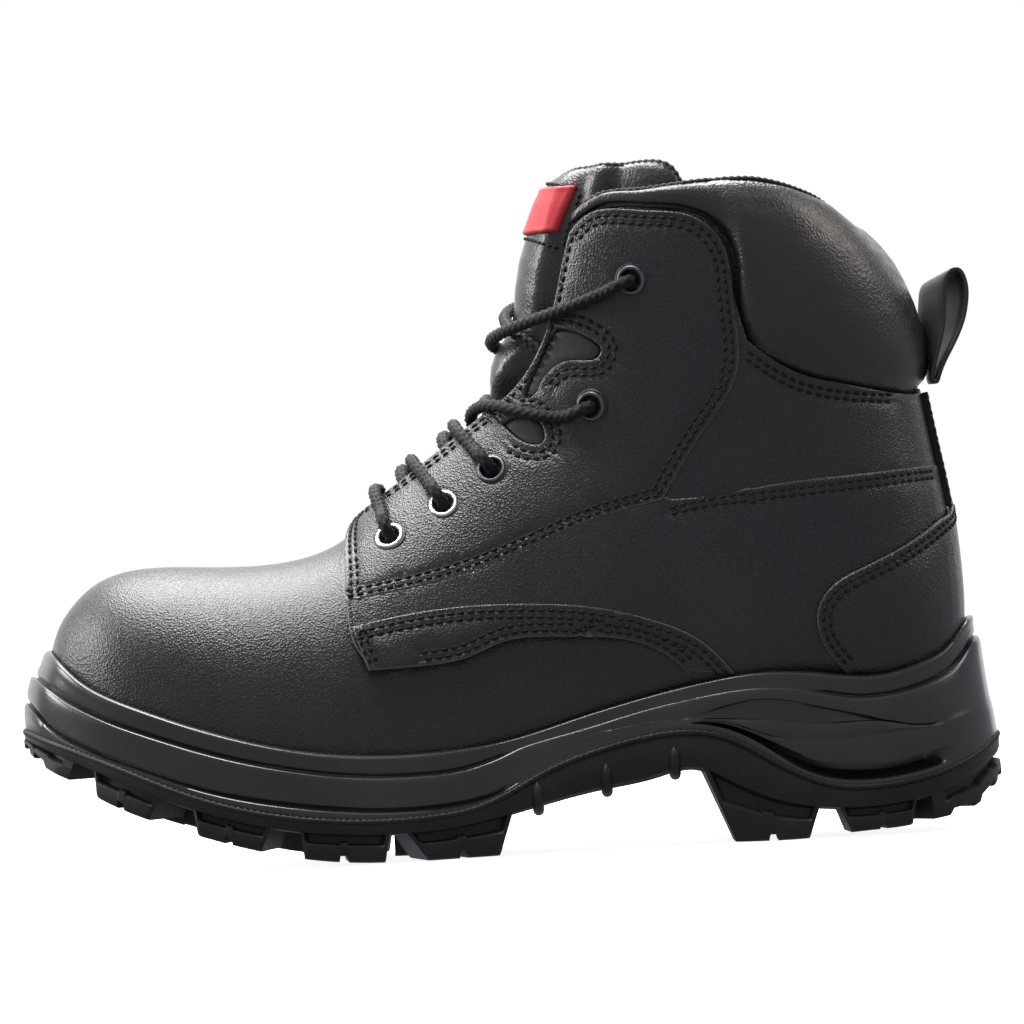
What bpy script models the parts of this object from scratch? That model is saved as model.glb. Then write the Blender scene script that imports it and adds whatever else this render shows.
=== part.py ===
"""Steel toe work boot for the left foot, as an assembly of separate pieces.

Metres, +Z up. The toe points to -X and the outer (lateral) side faces -Y. The boot stands on Z = 0,
with the origin under the middle of its length and width. Lengths below are in millimetres and are
turned into metres when a mesh is made.

The upper follows one last surface. A section plane sweeps from the toe, where it is upright, round
the instep to the top of the shaft, where it is nearly level. `u` runs along that sweep. `a` runs
round a section: 0 at the front or top, 1 at the back or underside by the lateral side, and on to 2
at the front again by the medial side.
"""

import math

import bmesh
import bpy
import numpy as np
from mathutils import Matrix, Vector
from mathutils.geometry import delaunay_2d_cdt

MM = 0.001
LATERAL, MEDIAL = 1, -1

# Driving sizes.
SOLE_HALF_LENGTH = 152.0
FIT_GAP = 0.4
CUP_GAP = 1.4
LEATHER = 2.0
PATCH_LEATHER = 1.5
PATCH_GAP = 0.95
LINING_CLOTH = 1.0
LINING_OUTSIDE = -5.4
CAP_STEEL = 1.8
LACE_RADIUS = 1.8
EYELET_HOLE_RADIUS = 3.05
EYELET_BARREL_RADIUS = 3.45
EYELET_FLANGE_RADIUS = 5.3
EYELET_ROLL_RADIUS = 4.7
PUNCHED_HOLE_RADIUS = 3.95
FLAP_RISE = 2.0
PANEL_STEP = 9.0
EDGE_STEP = 7.5
LINING_STEP = 13.0

# Sections of the last: front point x and z, back point x and z, half width, place of the widest
# point from front to back, and the roundness of the curve before and after it (2 is an ellipse).
SECTIONS = (
    (-142.0, 68.5, -142.0, 60.0, 0.0, 0.80, 2.3, 4.0),
    (-139.8, 75.0, -139.8, 56.5, 15.5, 0.80, 2.3, 4.0),
    (-135.0, 82.5, -135.0, 52.0, 25.0, 0.80, 2.3, 4.5),
    (-126.0, 90.0, -126.0, 47.0, 34.0, 0.82, 2.3, 5.0),
    (-111.0, 93.6, -111.0, 41.0, 41.0, 0.84, 2.3, 5.0),
    (-88.0, 92.8, -88.0, 33.0, 45.5, 0.85, 2.3, 5.0),
    (-66.0, 93.4, -66.0, 26.5, 46.5, 0.84, 2.3, 5.0),
    (-50.0, 98.5, -43.0, 24.0, 45.5, 0.80, 2.2, 5.0),
    (-37.0, 109.5, -16.0, 24.5, 42.5, 0.76, 2.1, 5.0),
    (-24.0, 120.5, 12.0, 28.5, 39.0, 0.72, 2.0, 4.5),
    (-11.0, 131.0, 45.0, 35.5, 37.0, 0.66, 2.0, 4.0),
    (-3.5, 139.5, 80.0, 39.5, 36.5, 0.62, 2.0, 3.8),
    (-1.8, 146.0, 112.0, 39.5, 37.0, 0.60, 2.0, 3.5),
    (-1.2, 151.5, 132.0, 44.0, 37.5, 0.58, 2.0, 3.2),
    (0.0, 158.0, 139.8, 60.0, 38.5, 0.55, 2.0, 2.8),
    (2.5, 165.5, 140.5, 80.0, 39.5, 0.53, 2.0, 2.5),
    (6.0, 174.0, 138.8, 101.0, 41.0, 0.50, 2.0, 2.3),
    (9.5, 183.0, 135.5, 121.0, 42.0, 0.48, 2.0, 2.2),
    (12.5, 191.5, 132.5, 139.0, 43.0, 0.48, 2.0, 2.2),
    (16.0, 200.5, 128.5, 157.0, 44.0, 0.48, 2.0, 2.2),
    (19.5, 209.5, 122.5, 175.0, 44.5, 0.48, 2.0, 2.2),
    (23.5, 218.5, 115.5, 193.0, 45.0, 0.48, 2.0, 2.2),
    (27.5, 227.5, 108.5, 211.0, 45.0, 0.48, 2.0, 2.2),
)

# The middle of the boot bends towards the medial side at the toe.
MIDLINE = ((-152, 8.0), (-120, 6.0), (-90, 2.8), (-60, 0.0), (0, -0.6), (40, 0.8), (100, 2.4), (152, 2.6))

# Sole outline, half width at each x, and its heights: top of the rim, parting line between midsole
# and outsole, roof of the tread gaps, and the running surface.
SOLE_WIDTH = (
    (-151, 8.5), (-146, 22.5), (-135, 35.0), (-118, 45.5), (-95, 51.5), (-65, 53.6), (-35, 50.5),
    (0, 44.0), (35, 40.0), (70, 39.5), (100, 40.0), (124, 37.0), (140, 28.0), (149, 14.5),
)
RIM_TOP = (
    (-152, 71.0), (-140, 69.0), (-132, 59.0), (-117, 51.2), (-101, 45.7), (-87, 40.8), (-71, 36.4),
    (-56, 33.9), (-35, 32.7), (-15, 33.6), (3, 36.2), (20, 40.8), (40, 45.8), (60, 49.8), (80, 51.8),
    (99, 50.2), (115, 49.2), (128, 52.4), (137, 57.5), (144, 65.0), (152, 66.5),
)
PARTING = (
    (-152, 45.0), (-139, 40.0), (-118, 31.0), (-98, 22.5), (-72, 15.5), (-47, 12.6), (-25, 12.8),
    (-11, 15.0), (0, 19.5), (11, 25.0), (22, 28.9), (39, 33.0), (55, 34.3), (66, 32.0), (76, 26.6),
    (87, 20.1), (97, 16.0), (108, 14.6), (124, 16.0), (135, 18.8), (145, 23.4), (152, 28.5),
)
TREAD_ROOF = (
    (-152, 42.0), (-136, 35.0), (-106, 21.5), (-72, 11.4), (-47, 8.4), (-25, 8.4), (-2, 11.8),
    (11, 14.8), (27, 18.0), (44, 20.8), (56, 22.6), (66, 18.0), (78, 12.0), (94, 8.6), (110, 8.0),
    (125, 9.6), (140, 14.0), (152, 22.0),
)
RUNNING = (
    (-152, 40.0), (-146, 34.5), (-138, 29.6), (-128, 23.6), (-113, 16.6), (-98, 11.2), (-78, 5.2),
    (-65, 2.4), (-50, 0.5), (-40, 0.0), (-5, 0.0), (20, 0.0), (66, 0.0), (92, 0.0), (104, 1.0),
    (122, 2.2), (134, 4.2), (146, 8.6), (152, 15.0),
)
# Gaps of the tread: front and back x at the roof, then front and back x at the running surface.
TREAD_GAPS = (
    (-135.6, -129.6, -138.4, -129.0),
    (-109.0, -99.0, -112.8, -97.7),
    (-75.0, -66.2, -78.4, -65.1),
    (-38.4, -33.7, -40.3, -27.0),
    (-0.4, 58.5, -5.1, 67.3),
    (93.7, 99.5, 90.0, 103.1),
    (124.0, 128.6, 122.2, 129.6),
)

# Eyelets of one side, from the bottom up.
EYELETS = ((-33.4, 98.1), (-16.4, 107.4), (-0.9, 117.5), (30.7, 136.3), (44.6, 174.2))

# Edges of the upper's panels in side view, x and z.
THROAT_EDGE = (
    (-47.6, 92.0), (-45.6, 101.0), (-40.0, 106.6), (-30.4, 113.6), (-14.2, 125.2), (-1.1, 135.4),
    (8.7, 144.4), (15.5, 154.9), (20.2, 167.1), (23.8, 181.0), (26.5, 190.0),
)
FLAP_FRONT = ((-42.5, 58.6), (-46.4, 66.4), (-48.2, 80.5), (-47.6, 92.0))
FLAP_LOWER = (
    (-42.5, 58.6), (-27.2, 59.1), (-11.4, 61.3), (-1.9, 65.0), (16.9, 66.0), (35.5, 64.4),
    (47.7, 59.6), (57.0, 50.0), (61.0, 44.0),
)
EYESTAY_REAR = (
    (26.5, 190.0), (31.7, 195.0), (48.9, 195.4), (64.3, 192.6), (72.8, 184.5), (75.4, 167.2),
    (74.7, 142.3), (64.6, 127.3), (54.4, 112.5), (50.6, 106.4),
)
EYESTAY_LOWER = ((50.6, 106.4), (31.4, 101.8), (5.9, 92.2), (-16.3, 85.2), (-48.2, 79.2))
MID_SEAM = ((51.6, 104.6), (56.4, 105.0), (81.5, 107.0), (109.6, 108.6))
QUARTER_BACK_Z = 112.8
QUARTER_FOOT = ((130, 9.5), (124, 9.5), (114, 9.5), (104, 8.5), (94, 7.5), (82, 7.0), (70, 6.5))
BAND_UPPER = (
    (-45.2, 71.8), (-23.2, 75.2), (4.9, 76.2), (29.8, 73.8), (46.6, 69.0), (60.3, 62.0), (69.5, 52.0),
)
COLLAR_LOWER = ((27.0, 193.0), (33.0, 197.2), (49.5, 197.6), (65.6, 194.6), (75.2, 185.4), (77.6, 168.0),
                (79.0, 156.0), (92.8, 144.4), (108.2, 139.6))
COLLAR_BACK_LOWER_Z = 137.4
COLLAR_TOP = ((28.4, 197.2), (34.0, 200.6), (46.0, 201.6), (62.0, 202.4), (80.0, 202.4), (96.0, 199.6),
              (108.0, 194.8), (116.0, 188.4), (121.5, 180.5))
COLLAR_BACK_TOP_Z = 170.0
HEEL_PATCH_EDGE = ((103.6, 51.5), (98.0, 60.0), (96.9, 71.0), (103.3, 80.0), (117.8, 88.6))
HEEL_PATCH_BACK_Z = 101.0

# Flex windows in the eyestay, and how far their inlays stay inside them.
WINDOWS = (
    ((20.6, 161.0), (25.0, 160.2), (31.8, 156.7), (34.4, 153.3), (33.0, 151.0), (28.5, 150.5), (22.5, 150.3),
     (18.9, 148.2), (15.9, 144.6), (13.2, 140.4), (10.4, 139.6), (10.8, 143.0), (14.0, 149.4), (17.2, 156.2)),
    ((3.2, 131.6), (8.0, 134.2), (13.2, 133.2), (16.0, 129.0), (15.2, 125.4), (12.4, 124.8), (7.0, 127.4)),
)
INLAY_GAP = 0.7

# Tongue boundary in side view: its side edge from the bottom up, then its top edge from the middle out.
TONGUE_SIDE = (
    (-45.0, 95.5), (-24.0, 102.0), (-4.0, 110.0), (12.0, 121.0), (23.0, 137.0), (31.0, 156.0),
    (39.0, 172.0), (51.0, 188.0), (60.5, 199.0),
)
TONGUE_TOP = ((20.2, 210.5), (29.0, 212.6), (43.0, 211.4), (54.0, 208.6), (60.5, 199.0))
# Offset of its outer face along its middle, for each u: low in the throat, full above, pressed in by the lace.
TONGUE_MIDDLE = (
    (0.530, -6.6), (0.547, -5.3), (0.562, -2.9), (0.578, -1.7), (0.610, -1.1), (0.640, -1.3), (0.662, -2.2),
    (0.684, -3.9), (0.705, -4.9), (0.722, -5.0), (0.742, -4.0), (0.765, -2.5), (0.800, -1.0), (0.850, -1.0),
    (0.880, -1.2), (0.910, -2.4), (0.940, -5.0),
)
TONGUE_THICKNESS = 5.0
TONGUE_ROWS, TONGUE_COLUMNS = 30, 8
LABEL = ((14.0, 190.9), (19.5, 205.0))
LABEL_HALF = 23.0

# Lace. Each row of LACE_LEVELS: how far up towards the next eyelets a strand is where it passes the middle
# of the throat, and its height there, first for the strand that climbs to the lateral side, then the other.
LACE_BAR = (0.12, 3.1)
LACE_LEVELS = (((0.82, 1.2), (0.5, -0.6)), ((0.85, 0.3), (0.45, -1.0)), ((0.08, -1.4), (0.27, -2.4)),
               ((0.0, -0.4), (0.28, -2.6)))
LACE_STEP = 6.6
TAIL = (
    (46.5, 169.0, -6.2), (50.0, 162.0, -7.9), (55.0, 152.0, -9.4), (60.0, 139.0, -10.2), (61.0, 122.0, -10.4),
    (56.0, 104.0, -10.4), (45.0, 88.0, -10.4), (28.0, 76.0, -10.4), (8.0, 68.5, -10.4), (-14.0, 63.0, -10.4),
    (-34.0, 60.0, -10.4),
)
AGLET = ((-35.6, 59.8, -10.4), (-56.0, 57.4, -10.4))
AGLET_RADIUS = 1.5

# Hinge lines of the tongue and of the footbed's toe end, x and z.
TONGUE_AXIS = (-46.0, 95.0)
FOOTBED_AXIS = (-122.0, 51.5)

# Pull loop: middle line of the strap in side view from its root, how far it turns and leans.
LOOP_ROOT = (137.2, 137.6)
LOOP_PATH = (
    (-0.9, 0.8), (-0.5, 6.0), (0.2, 13.0), (0.7, 21.0), (1.4, 28.5), (3.2, 32.9), (5.6, 33.4), (7.4, 30.8),
    (8.0, 26.5), (7.0, 20.0), (4.6, 12.0), (2.2, 5.6), (0.9, 0.8),
)
LOOP_TURN = math.radians(19.0)
LOOP_LEAN = math.radians(9.0)
LOOP_HALF_WIDTH = 11.0
LOOP_THICKNESS = 1.4


# ---------------------------------------------------------------- curves

class Spline:
    """Natural cubic curve through the rows of a table, by its first column."""

    def __init__(self, knots, values):
        x = np.asarray(knots, float)
        y = np.asarray(values, float).reshape(len(x), -1)
        h = np.diff(x)
        system = np.eye(len(x))
        right = np.zeros_like(y)
        for i in range(1, len(x) - 1):
            system[i, i - 1:i + 2] = h[i - 1], 2 * (h[i - 1] + h[i]), h[i]
            right[i] = 6 * ((y[i + 1] - y[i]) / h[i] - (y[i] - y[i - 1]) / h[i - 1])
        self.x, self.y, self.bend = x, y, np.linalg.solve(system, right)

    def __call__(self, at):
        at = np.asarray(at, float)
        i = np.clip(np.searchsorted(self.x, at) - 1, 0, len(self.x) - 2)
        h = (self.x[i + 1] - self.x[i])[..., None]
        p = (self.x[i + 1] - at)[..., None] / h
        q = 1 - p
        curved = ((p ** 3 - p) * self.bend[i] + (q ** 3 - q) * self.bend[i + 1]) * h * h / 6
        return p * self.y[i] + q * self.y[i + 1] + curved


def table(rows):
    """A curve of one value from (x, value) rows."""
    rows = np.asarray(rows, float)
    curve = Spline(rows[:, 0], rows[:, 1])
    return lambda at: curve(at)[..., 0]


def smooth(points, count):
    """That many points along a smooth curve through the given ones, evenly spaced."""
    points = np.asarray(points, float)
    along = np.concatenate([[0], np.cumsum(np.linalg.norm(np.diff(points, axis=0), axis=1))])
    curve = Spline(along, points)
    fine = curve(np.linspace(0, along[-1], 40 * len(points)))
    run = np.concatenate([[0], np.cumsum(np.linalg.norm(np.diff(fine, axis=0), axis=1))])
    at = np.linspace(0, run[-1], count)
    return np.stack([np.interp(at, run, fine[:, k]) for k in range(fine.shape[1])], axis=1)


def length_of(points):
    return float(np.linalg.norm(np.diff(np.asarray(points, float), axis=0), axis=1).sum())


def ease(t):
    """Smooth step from 0 to 1."""
    t = np.clip(t, 0, 1)
    return t * t * (3 - 2 * t)


midline = table(MIDLINE)
rim_top = table(RIM_TOP)
parting = table(PARTING)
tread_roof = table(TREAD_ROOF)
running = table(RUNNING)


# ---------------------------------------------------------------- last surface

class Last:
    """The surface that the upper follows, and the maps from a side view place to u and a."""

    def __init__(self, rows):
        rows = np.asarray(rows, float)
        steps = np.linalg.norm(np.diff(rows[:, :2], axis=0), axis=1)
        steps += np.linalg.norm(np.diff(rows[:, 2:4], axis=0), axis=1)
        self.knots = np.concatenate([[0], np.cumsum(steps)]) / steps.sum()
        self.curve = Spline(self.knots, rows)
        self.us = np.linspace(0, 1, 121)
        self.vs = np.linspace(0, 1, 61)
        turns = np.linspace(0, math.pi, 361)
        self.turns = np.empty((len(self.us), len(self.vs)))
        self.arcs = np.empty(len(self.us))
        for i, u in enumerate(self.us):
            walk = self.at_turn(np.full(turns.shape, u), turns)
            run = np.concatenate([[0], np.cumsum(np.linalg.norm(np.diff(walk, axis=0), axis=1))])
            self.turns[i] = np.interp(self.vs * run[-1], run, turns)
            self.arcs[i] = run[-1]

    def at_turn(self, u, turn):
        """Point of section u where its own angle is turn, before the midline's bend."""
        fx, fz, bx, bz, half, widest, front, back = np.moveaxis(self.curve(u), -1, 0)
        before = turn <= math.pi / 2
        power = 2 / np.where(before, front, back)
        reach = np.abs(np.cos(turn)) ** power
        t = np.where(before, widest * (1 - reach), widest + (1 - widest) * reach)
        y = half * np.abs(np.sin(turn)) ** power
        return np.stack([fx + t * (bx - fx), y, fz + t * (bz - fz)], axis=-1)

    def turn_of(self, u, v):
        i = np.clip(np.searchsorted(self.us, u) - 1, 0, len(self.us) - 2)
        j = np.clip(np.searchsorted(self.vs, v) - 1, 0, len(self.vs) - 2)
        p = (u - self.us[i]) / (self.us[1] - self.us[0])
        q = (v - self.vs[j]) / (self.vs[1] - self.vs[0])
        low = self.turns[i, j] * (1 - q) + self.turns[i, j + 1] * q
        high = self.turns[i + 1, j] * (1 - q) + self.turns[i + 1, j + 1] * q
        return low * (1 - p) + high * p

    def on(self, u, a):
        """Points of the surface at u and a, in millimetres."""
        u, a = np.broadcast_arrays(np.asarray(u, float), np.asarray(a, float))
        a = np.mod(a, 2)
        lateral = a <= 1
        v = np.where(lateral, a, 2 - a)
        points = self.at_turn(u, self.turn_of(u, v))
        points[..., 1] *= np.where(lateral, -1, 1)
        points[..., 1] += midline(points[..., 0])
        return points

    def normal(self, u, a):
        """Unit normals that point out of the boot."""
        du, da = 2e-3, 4e-3
        u = np.clip(u, 3 * du, 1 - 3 * du)
        along = self.on(u + du, a) - self.on(u - du, a)
        around = self.on(u, a + da) - self.on(u, a - da)
        n = np.cross(around, along)
        return n / np.linalg.norm(n, axis=-1, keepdims=True)

    def off(self, u, a, distance):
        """Points at that distance outside the surface."""
        distance = np.asarray(distance, float)
        return self.on(u, a) + self.normal(u, a) * distance[..., None]

    def uv(self, x, z):
        """u and v of the point that a side view shows at x, z."""
        low, high = 0.0, 1.0
        for _ in range(40):
            u = (low + high) / 2
            fx, fz, bx, bz = self.curve(u)[:4]
            if (x - fx) * (bz - fz) - (z - fz) * (bx - fx) < 0:
                low = u
            else:
                high = u
        fx, fz, bx, bz, _, widest, front, back = self.curve(u)
        t = ((x - fx) * (bx - fx) + (z - fz) * (bz - fz)) / ((bx - fx) ** 2 + (bz - fz) ** 2)
        t = min(max(t, 0.0), 1.0)
        if t <= widest:
            turn = math.acos((1 - t / widest) ** (front / 2))
        else:
            turn = math.pi - math.acos(((t - widest) / (1 - widest)) ** (back / 2))
        row = [self.turn_of(u, v) for v in self.vs]
        return u, float(np.interp(turn, row, self.vs))

    def trace(self, points, side=LATERAL):
        """(u, a) of side view points, on one side of the boot."""
        found = np.array([self.uv(x, z) for x, z in points])
        found[:, 1] *= side
        return found

    def back_u(self, z):
        """u of the back seam at a height, above the heel's corner."""
        low, high = self.knots[13], 1.0
        for _ in range(40):
            u = (low + high) / 2
            if self.curve(u)[3] < z:
                low = u
            else:
                high = u
        return u


last = Last(SECTIONS)
throat = last.trace(smooth(THROAT_EDGE, 25))


def throat_v(u):
    """Where the throat's edge lies on section u."""
    return np.interp(u, throat[:, 0], throat[:, 1])


def span(u):
    """Length of half a section, from the front to the back."""
    return np.interp(u, last.us, last.arcs)


def flap_rise(x, z):
    """How far the front of the quarter stands above the last, where it lies on the vamp."""
    return FLAP_RISE * ease((52 - x) / 30) * ease((165 - z) / 40)


def sole_bottom(x):
    """Height of the last's underside."""
    return np.interp(x, [row[2] for row in SECTIONS[:14]], [row[3] for row in SECTIONS[:14]])


# ---------------------------------------------------------------- meshes

def material(name, colour, roughness, metallic=0.0):
    made = bpy.data.materials.new(name)
    made.use_nodes = True
    shader = made.node_tree.nodes["Principled BSDF"]
    shader.inputs["Base Color"].default_value = (*colour, 1.0)
    shader.inputs["Roughness"].default_value = roughness
    shader.inputs["Metallic"].default_value = metallic
    made.diffuse_color = (*colour, 1.0)
    return made


def place(name, mesh, finish, collection):
    mesh.materials.append(finish)
    made = bpy.data.objects.new(name, mesh)
    collection.objects.link(made)
    return made


def mesh_of(name, points, faces):
    """A mesh from millimetre points, with its faces made consistent."""
    mesh = bpy.data.meshes.new(name)
    mesh.from_pydata([Vector(p) * MM for p in points], [], faces)
    work = bmesh.new()
    work.from_mesh(mesh)
    bmesh.ops.remove_doubles(work, verts=work.verts, dist=1e-6)
    bmesh.ops.recalc_face_normals(work, faces=work.faces)
    work.to_mesh(mesh)
    work.free()
    mesh.shade_smooth()
    mesh.set_sharp_from_angle(angle=math.radians(40))
    return mesh


def loft(name, rings, finish, collection, closed=False):
    """A solid through closed rings of points, capped at its ends or joined end to end."""
    rings = np.asarray(rings, float)
    count, size = rings.shape[:2]
    spans = count if closed else count - 1
    faces = []
    for i in range(spans):
        for j in range(size):
            k, n = (j + 1) % size, (i + 1) % count
            faces.append((i * size + j, i * size + k, n * size + k, n * size + j))
    if not closed:
        faces.append(tuple(range(size)))
        faces.append(tuple(range((count - 1) * size, count * size)))
    return place(name, mesh_of(name, rings.reshape(-1, 3), faces), finish, collection)


def slab(name, outer, inner, finish, collection):
    """A solid between two matching grids of points, such as the two faces of a pad."""
    outer, inner = np.asarray(outer, float), np.asarray(inner, float)
    rows, columns = outer.shape[:2]
    size = rows * columns
    edge = [(i, 0) for i in range(rows)] + [(rows - 1, j) for j in range(1, columns)]
    edge += [(i, columns - 1) for i in range(rows - 2, -1, -1)] + [(0, j) for j in range(columns - 2, 0, -1)]
    at = lambda i, j: i * columns + j
    faces = []
    for i in range(rows - 1):
        for j in range(columns - 1):
            quad = (at(i, j), at(i, j + 1), at(i + 1, j + 1), at(i + 1, j))
            faces.append(quad)
            faces.append(tuple(size + k for k in reversed(quad)))
    for (i, j), (k, n) in zip(edge, edge[1:] + edge[:1]):
        faces.append((at(k, n), at(i, j), size + at(i, j), size + at(k, n)))
    points = np.concatenate([outer.reshape(-1, 3), inner.reshape(-1, 3)])
    return place(name, mesh_of(name, points, faces), finish, collection)


def inside(polygon, points):
    """Which points lie in a closed polygon, in two dimensions."""
    x, y = points[:, 0], points[:, 1]
    found = np.zeros(len(points), bool)
    for (ax, ay), (bx, by) in zip(polygon, np.roll(polygon, -1, axis=0)):
        spans = (ay > y) != (by > y)
        cross = ax + (y - ay) * (bx - ax) / np.where(by == ay, 1e-12, by - ay)
        found ^= spans & (x < cross)
    return found


def near(polygon, points, distance):
    """Which points lie within a distance of a closed polygon."""
    best = np.full(len(points), np.inf)
    for a, b in zip(polygon, np.roll(polygon, -1, axis=0)):
        d = b - a
        t = np.clip(((points - a) @ d) / max(d @ d, 1e-12), 0, 1)
        best = np.minimum(best, np.linalg.norm(points - a - t[:, None] * d, axis=1))
    return best < distance


def dense(outline, scale, step):
    """A closed outline with its long edges split."""
    found = []
    for a, b in zip(outline, np.roll(outline, -1, axis=0)):
        parts = max(1, math.ceil(np.linalg.norm((b - a) * scale) / step))
        found += [a + (b - a) * k / parts for k in range(parts)]
    return np.array(found)


def panel(name, outline, outside, thickness, finish, collection, holes=(), step=PANEL_STEP):
    """A leather panel on the last: its outline in u and a, cut flat, laid on and thickened."""
    flat = np.array([430.0, 130.0])
    border = dense(np.asarray(outline, float), flat, EDGE_STEP) * flat
    loops = [border] + [np.asarray(hole, float) * flat for hole in holes]
    low, high = border.min(0), border.max(0)
    across = np.arange(low[0] + step / 2, high[0], step)
    along = np.arange(low[1] + step / 2, high[1], step)
    grid = np.stack(np.meshgrid(across, along), axis=-1).reshape(-1, 2)
    grid = grid[inside(border, grid) & ~near(border, grid, step * 0.45)]
    for hole in loops[1:]:
        grid = grid[~inside(hole, grid) & ~near(hole, grid, step * 0.35)]
    edges, start = [], 0
    for loop in loops:
        size = len(loop)
        edges += [(start + i, start + (i + 1) % size) for i in range(size)]
        start += size
    points = np.concatenate(loops + [grid])
    made = delaunay_2d_cdt([Vector(p) for p in points], edges, [], 0, 1e-5)
    points, faces = np.array([tuple(p) for p in made[0]]), made[2]
    middles = np.array([points[list(face)].mean(0) for face in faces])
    keep = inside(border, middles)
    for hole in loops[1:]:
        keep &= ~inside(hole, middles)
    faces = [face for face, kept in zip(faces, keep) if kept]
    u, a = points[:, 0] / flat[0], points[:, 1] / flat[1]
    raised = outside(u, a) if callable(outside) else np.full(len(u), float(outside))
    mesh = mesh_of(name, last.off(u, a, raised), faces)
    made = place(name, mesh, finish, collection)
    work = bmesh.new()
    work.from_mesh(mesh)
    work.faces.ensure_lookup_table()
    face = work.faces[0]
    centre = face.calc_center_median() / MM
    i = int(np.argmin(np.linalg.norm(last.on(u, a) - np.array(centre), axis=1)))
    if face.normal.dot(Vector(last.normal(u[i:i + 1], a[i:i + 1])[0])) < 0:
        bmesh.ops.reverse_faces(work, faces=work.faces)
        work.to_mesh(mesh)
    work.free()
    solidify = made.modifiers.new("thickness", "SOLIDIFY")
    solidify.thickness = thickness * MM
    solidify.offset = -1
    return made


def subtract(target, cutters):
    for cutter in cutters:
        cut = target.modifiers.new(cutter.name, "BOOLEAN")
        cut.operation = "DIFFERENCE"
        cut.object = cutter


def turn_about(made, place_mm):
    """Moves an object's origin to a place, such as its hinge, and leaves its shape where it is."""
    shift = Vector(place_mm) * MM
    made.data.transform(Matrix.Translation(-shift))
    made.location = shift
    return made


def helper(made):
    made.hide_render = True
    made.display_type = "WIRE"
    return made


def mirrored(points):
    """A lateral outline of u and a carried on along its mirror image, in reverse."""
    points = np.asarray(points, float)
    return np.concatenate([points, points[::-1] * [1, -1]])


def round_back(points):
    """As mirrored, but across the back seam, where a is 1."""
    points = np.asarray(points, float)
    back = points[::-1].copy()
    back[:, 1] = 2 - back[:, 1]
    return np.concatenate([points, back])


# ---------------------------------------------------------------- sole unit

def sole_outline(count, inset=0.0):
    """Closed plan outline, lateral points from toe to heel, then medial ones back to the toe."""
    rows = np.array([(-SOLE_HALF_LENGTH, 0.0), *SOLE_WIDTH, (SOLE_HALF_LENGTH, 0.0)], float)
    turns = np.arccos(np.clip(-rows[:, 0] / SOLE_HALF_LENGTH, -1, 1))
    half = Spline(turns, rows[:, 1])
    turn = np.linspace(0, math.pi, count)
    x = -SOLE_HALF_LENGTH * np.cos(turn)
    y = np.maximum(half(turn)[:, 0], 0.0)
    one = np.stack([x, -y], axis=1)
    two = np.stack([x[-2:0:-1], y[-2:0:-1]], axis=1)
    outline = np.concatenate([one, two])
    ahead = np.roll(outline, -1, axis=0) - np.roll(outline, 1, axis=0)
    ahead /= np.linalg.norm(ahead, axis=1, keepdims=True)
    normal = np.stack([ahead[:, 1], -ahead[:, 0]], axis=1)
    outline = outline - normal * np.asarray(inset, float)[..., None]
    outline[:, 1] += midline(outline[:, 0])
    return outline


def sole_rings(profile, lower, upper, count):
    """Rings from the lower surface to the upper one. Each profile row is inset and height share."""
    base = sole_outline(count)
    rings = []
    for inset, share in profile:
        ring = sole_outline(count, np.full(len(base), inset))
        x = base[:, 0]
        z = lower(x) + (upper(x) - lower(x)) * share
        rings.append(np.column_stack([ring, z]))
    return np.array(rings)


def ladder_caps(count, first, last_ring):
    """Cap faces that join each lateral point to the medial one at the same x."""
    size = 2 * (count - 1)
    faces = []
    for base, flip in ((first, False), (last_ring, True)):
        for i in range(count - 1):
            j, k = (size - i) % size, size - i - 1
            quad = [i, i + 1, k, j]
            quad = list(dict.fromkeys(quad))
            faces.append(tuple(base + n for n in (reversed(quad) if flip else quad)))
    return faces


def sole_block(name, profile, lower, upper, count, finish, collection):
    rings = sole_rings(profile, lower, upper, count)
    levels, size = rings.shape[:2]
    faces = []
    for i in range(levels - 1):
        for j in range(size):
            k = (j + 1) % size
            faces.append((i * size + j, i * size + k, (i + 1) * size + k, (i + 1) * size + j))
    faces += ladder_caps(count, 0, (levels - 1) * size)
    return place(name, mesh_of(name, rings.reshape(-1, 3), faces), finish, collection)


def last_solid(name, grow, finish, collection):
    """The space that the lasted upper fills, a little larger, as a cutter for the midsole's cup."""
    u = np.concatenate([[0.003, 0.009, 0.02], np.linspace(0.035, last.knots[17], 37)])
    a = np.linspace(0, 2, 44, endpoint=False)
    rings = last.off(u[:, None], a[None, :], np.full((len(u), len(a)), grow))
    return helper(loft(name, rings, finish, collection))


def gap_cutters(finish, collection):
    """Prisms that cut the tread's gaps across the sole."""
    made = []
    for i, (roof_front, roof_back, foot_front, foot_back) in enumerate(TREAD_GAPS):
        xs = np.linspace(roof_front, roof_back, 9 if roof_back - roof_front > 30 else 2)
        roof = [(x, tread_roof(x)) for x in xs]
        outline = [(foot_front - 1.0, running(foot_front) - 6.0), *roof, (foot_back + 1.0, running(foot_back) - 6.0)]
        rings = [[(x, y, z) for x, z in outline] for y in (-80.0, 80.0)]
        made.append(helper(loft(f"tread_gap_{i}", rings, finish, collection)))
    return made


def channel_cutter(finish, collection):
    """The channel down the middle of the tread, which wanders from side to side."""
    rings = []
    for i, x in enumerate(np.linspace(-156, 156, 27)):
        side = 4.5 * (-1) ** i + midline(x)
        low, roof = running(x) - 8, tread_roof(x)
        rings.append([(x, side - 4, low), (x, side + 4, low), (x, side + 3, roof), (x, side - 3, roof)])
    return helper(loft("tread_channel", rings, finish, collection))


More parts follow.
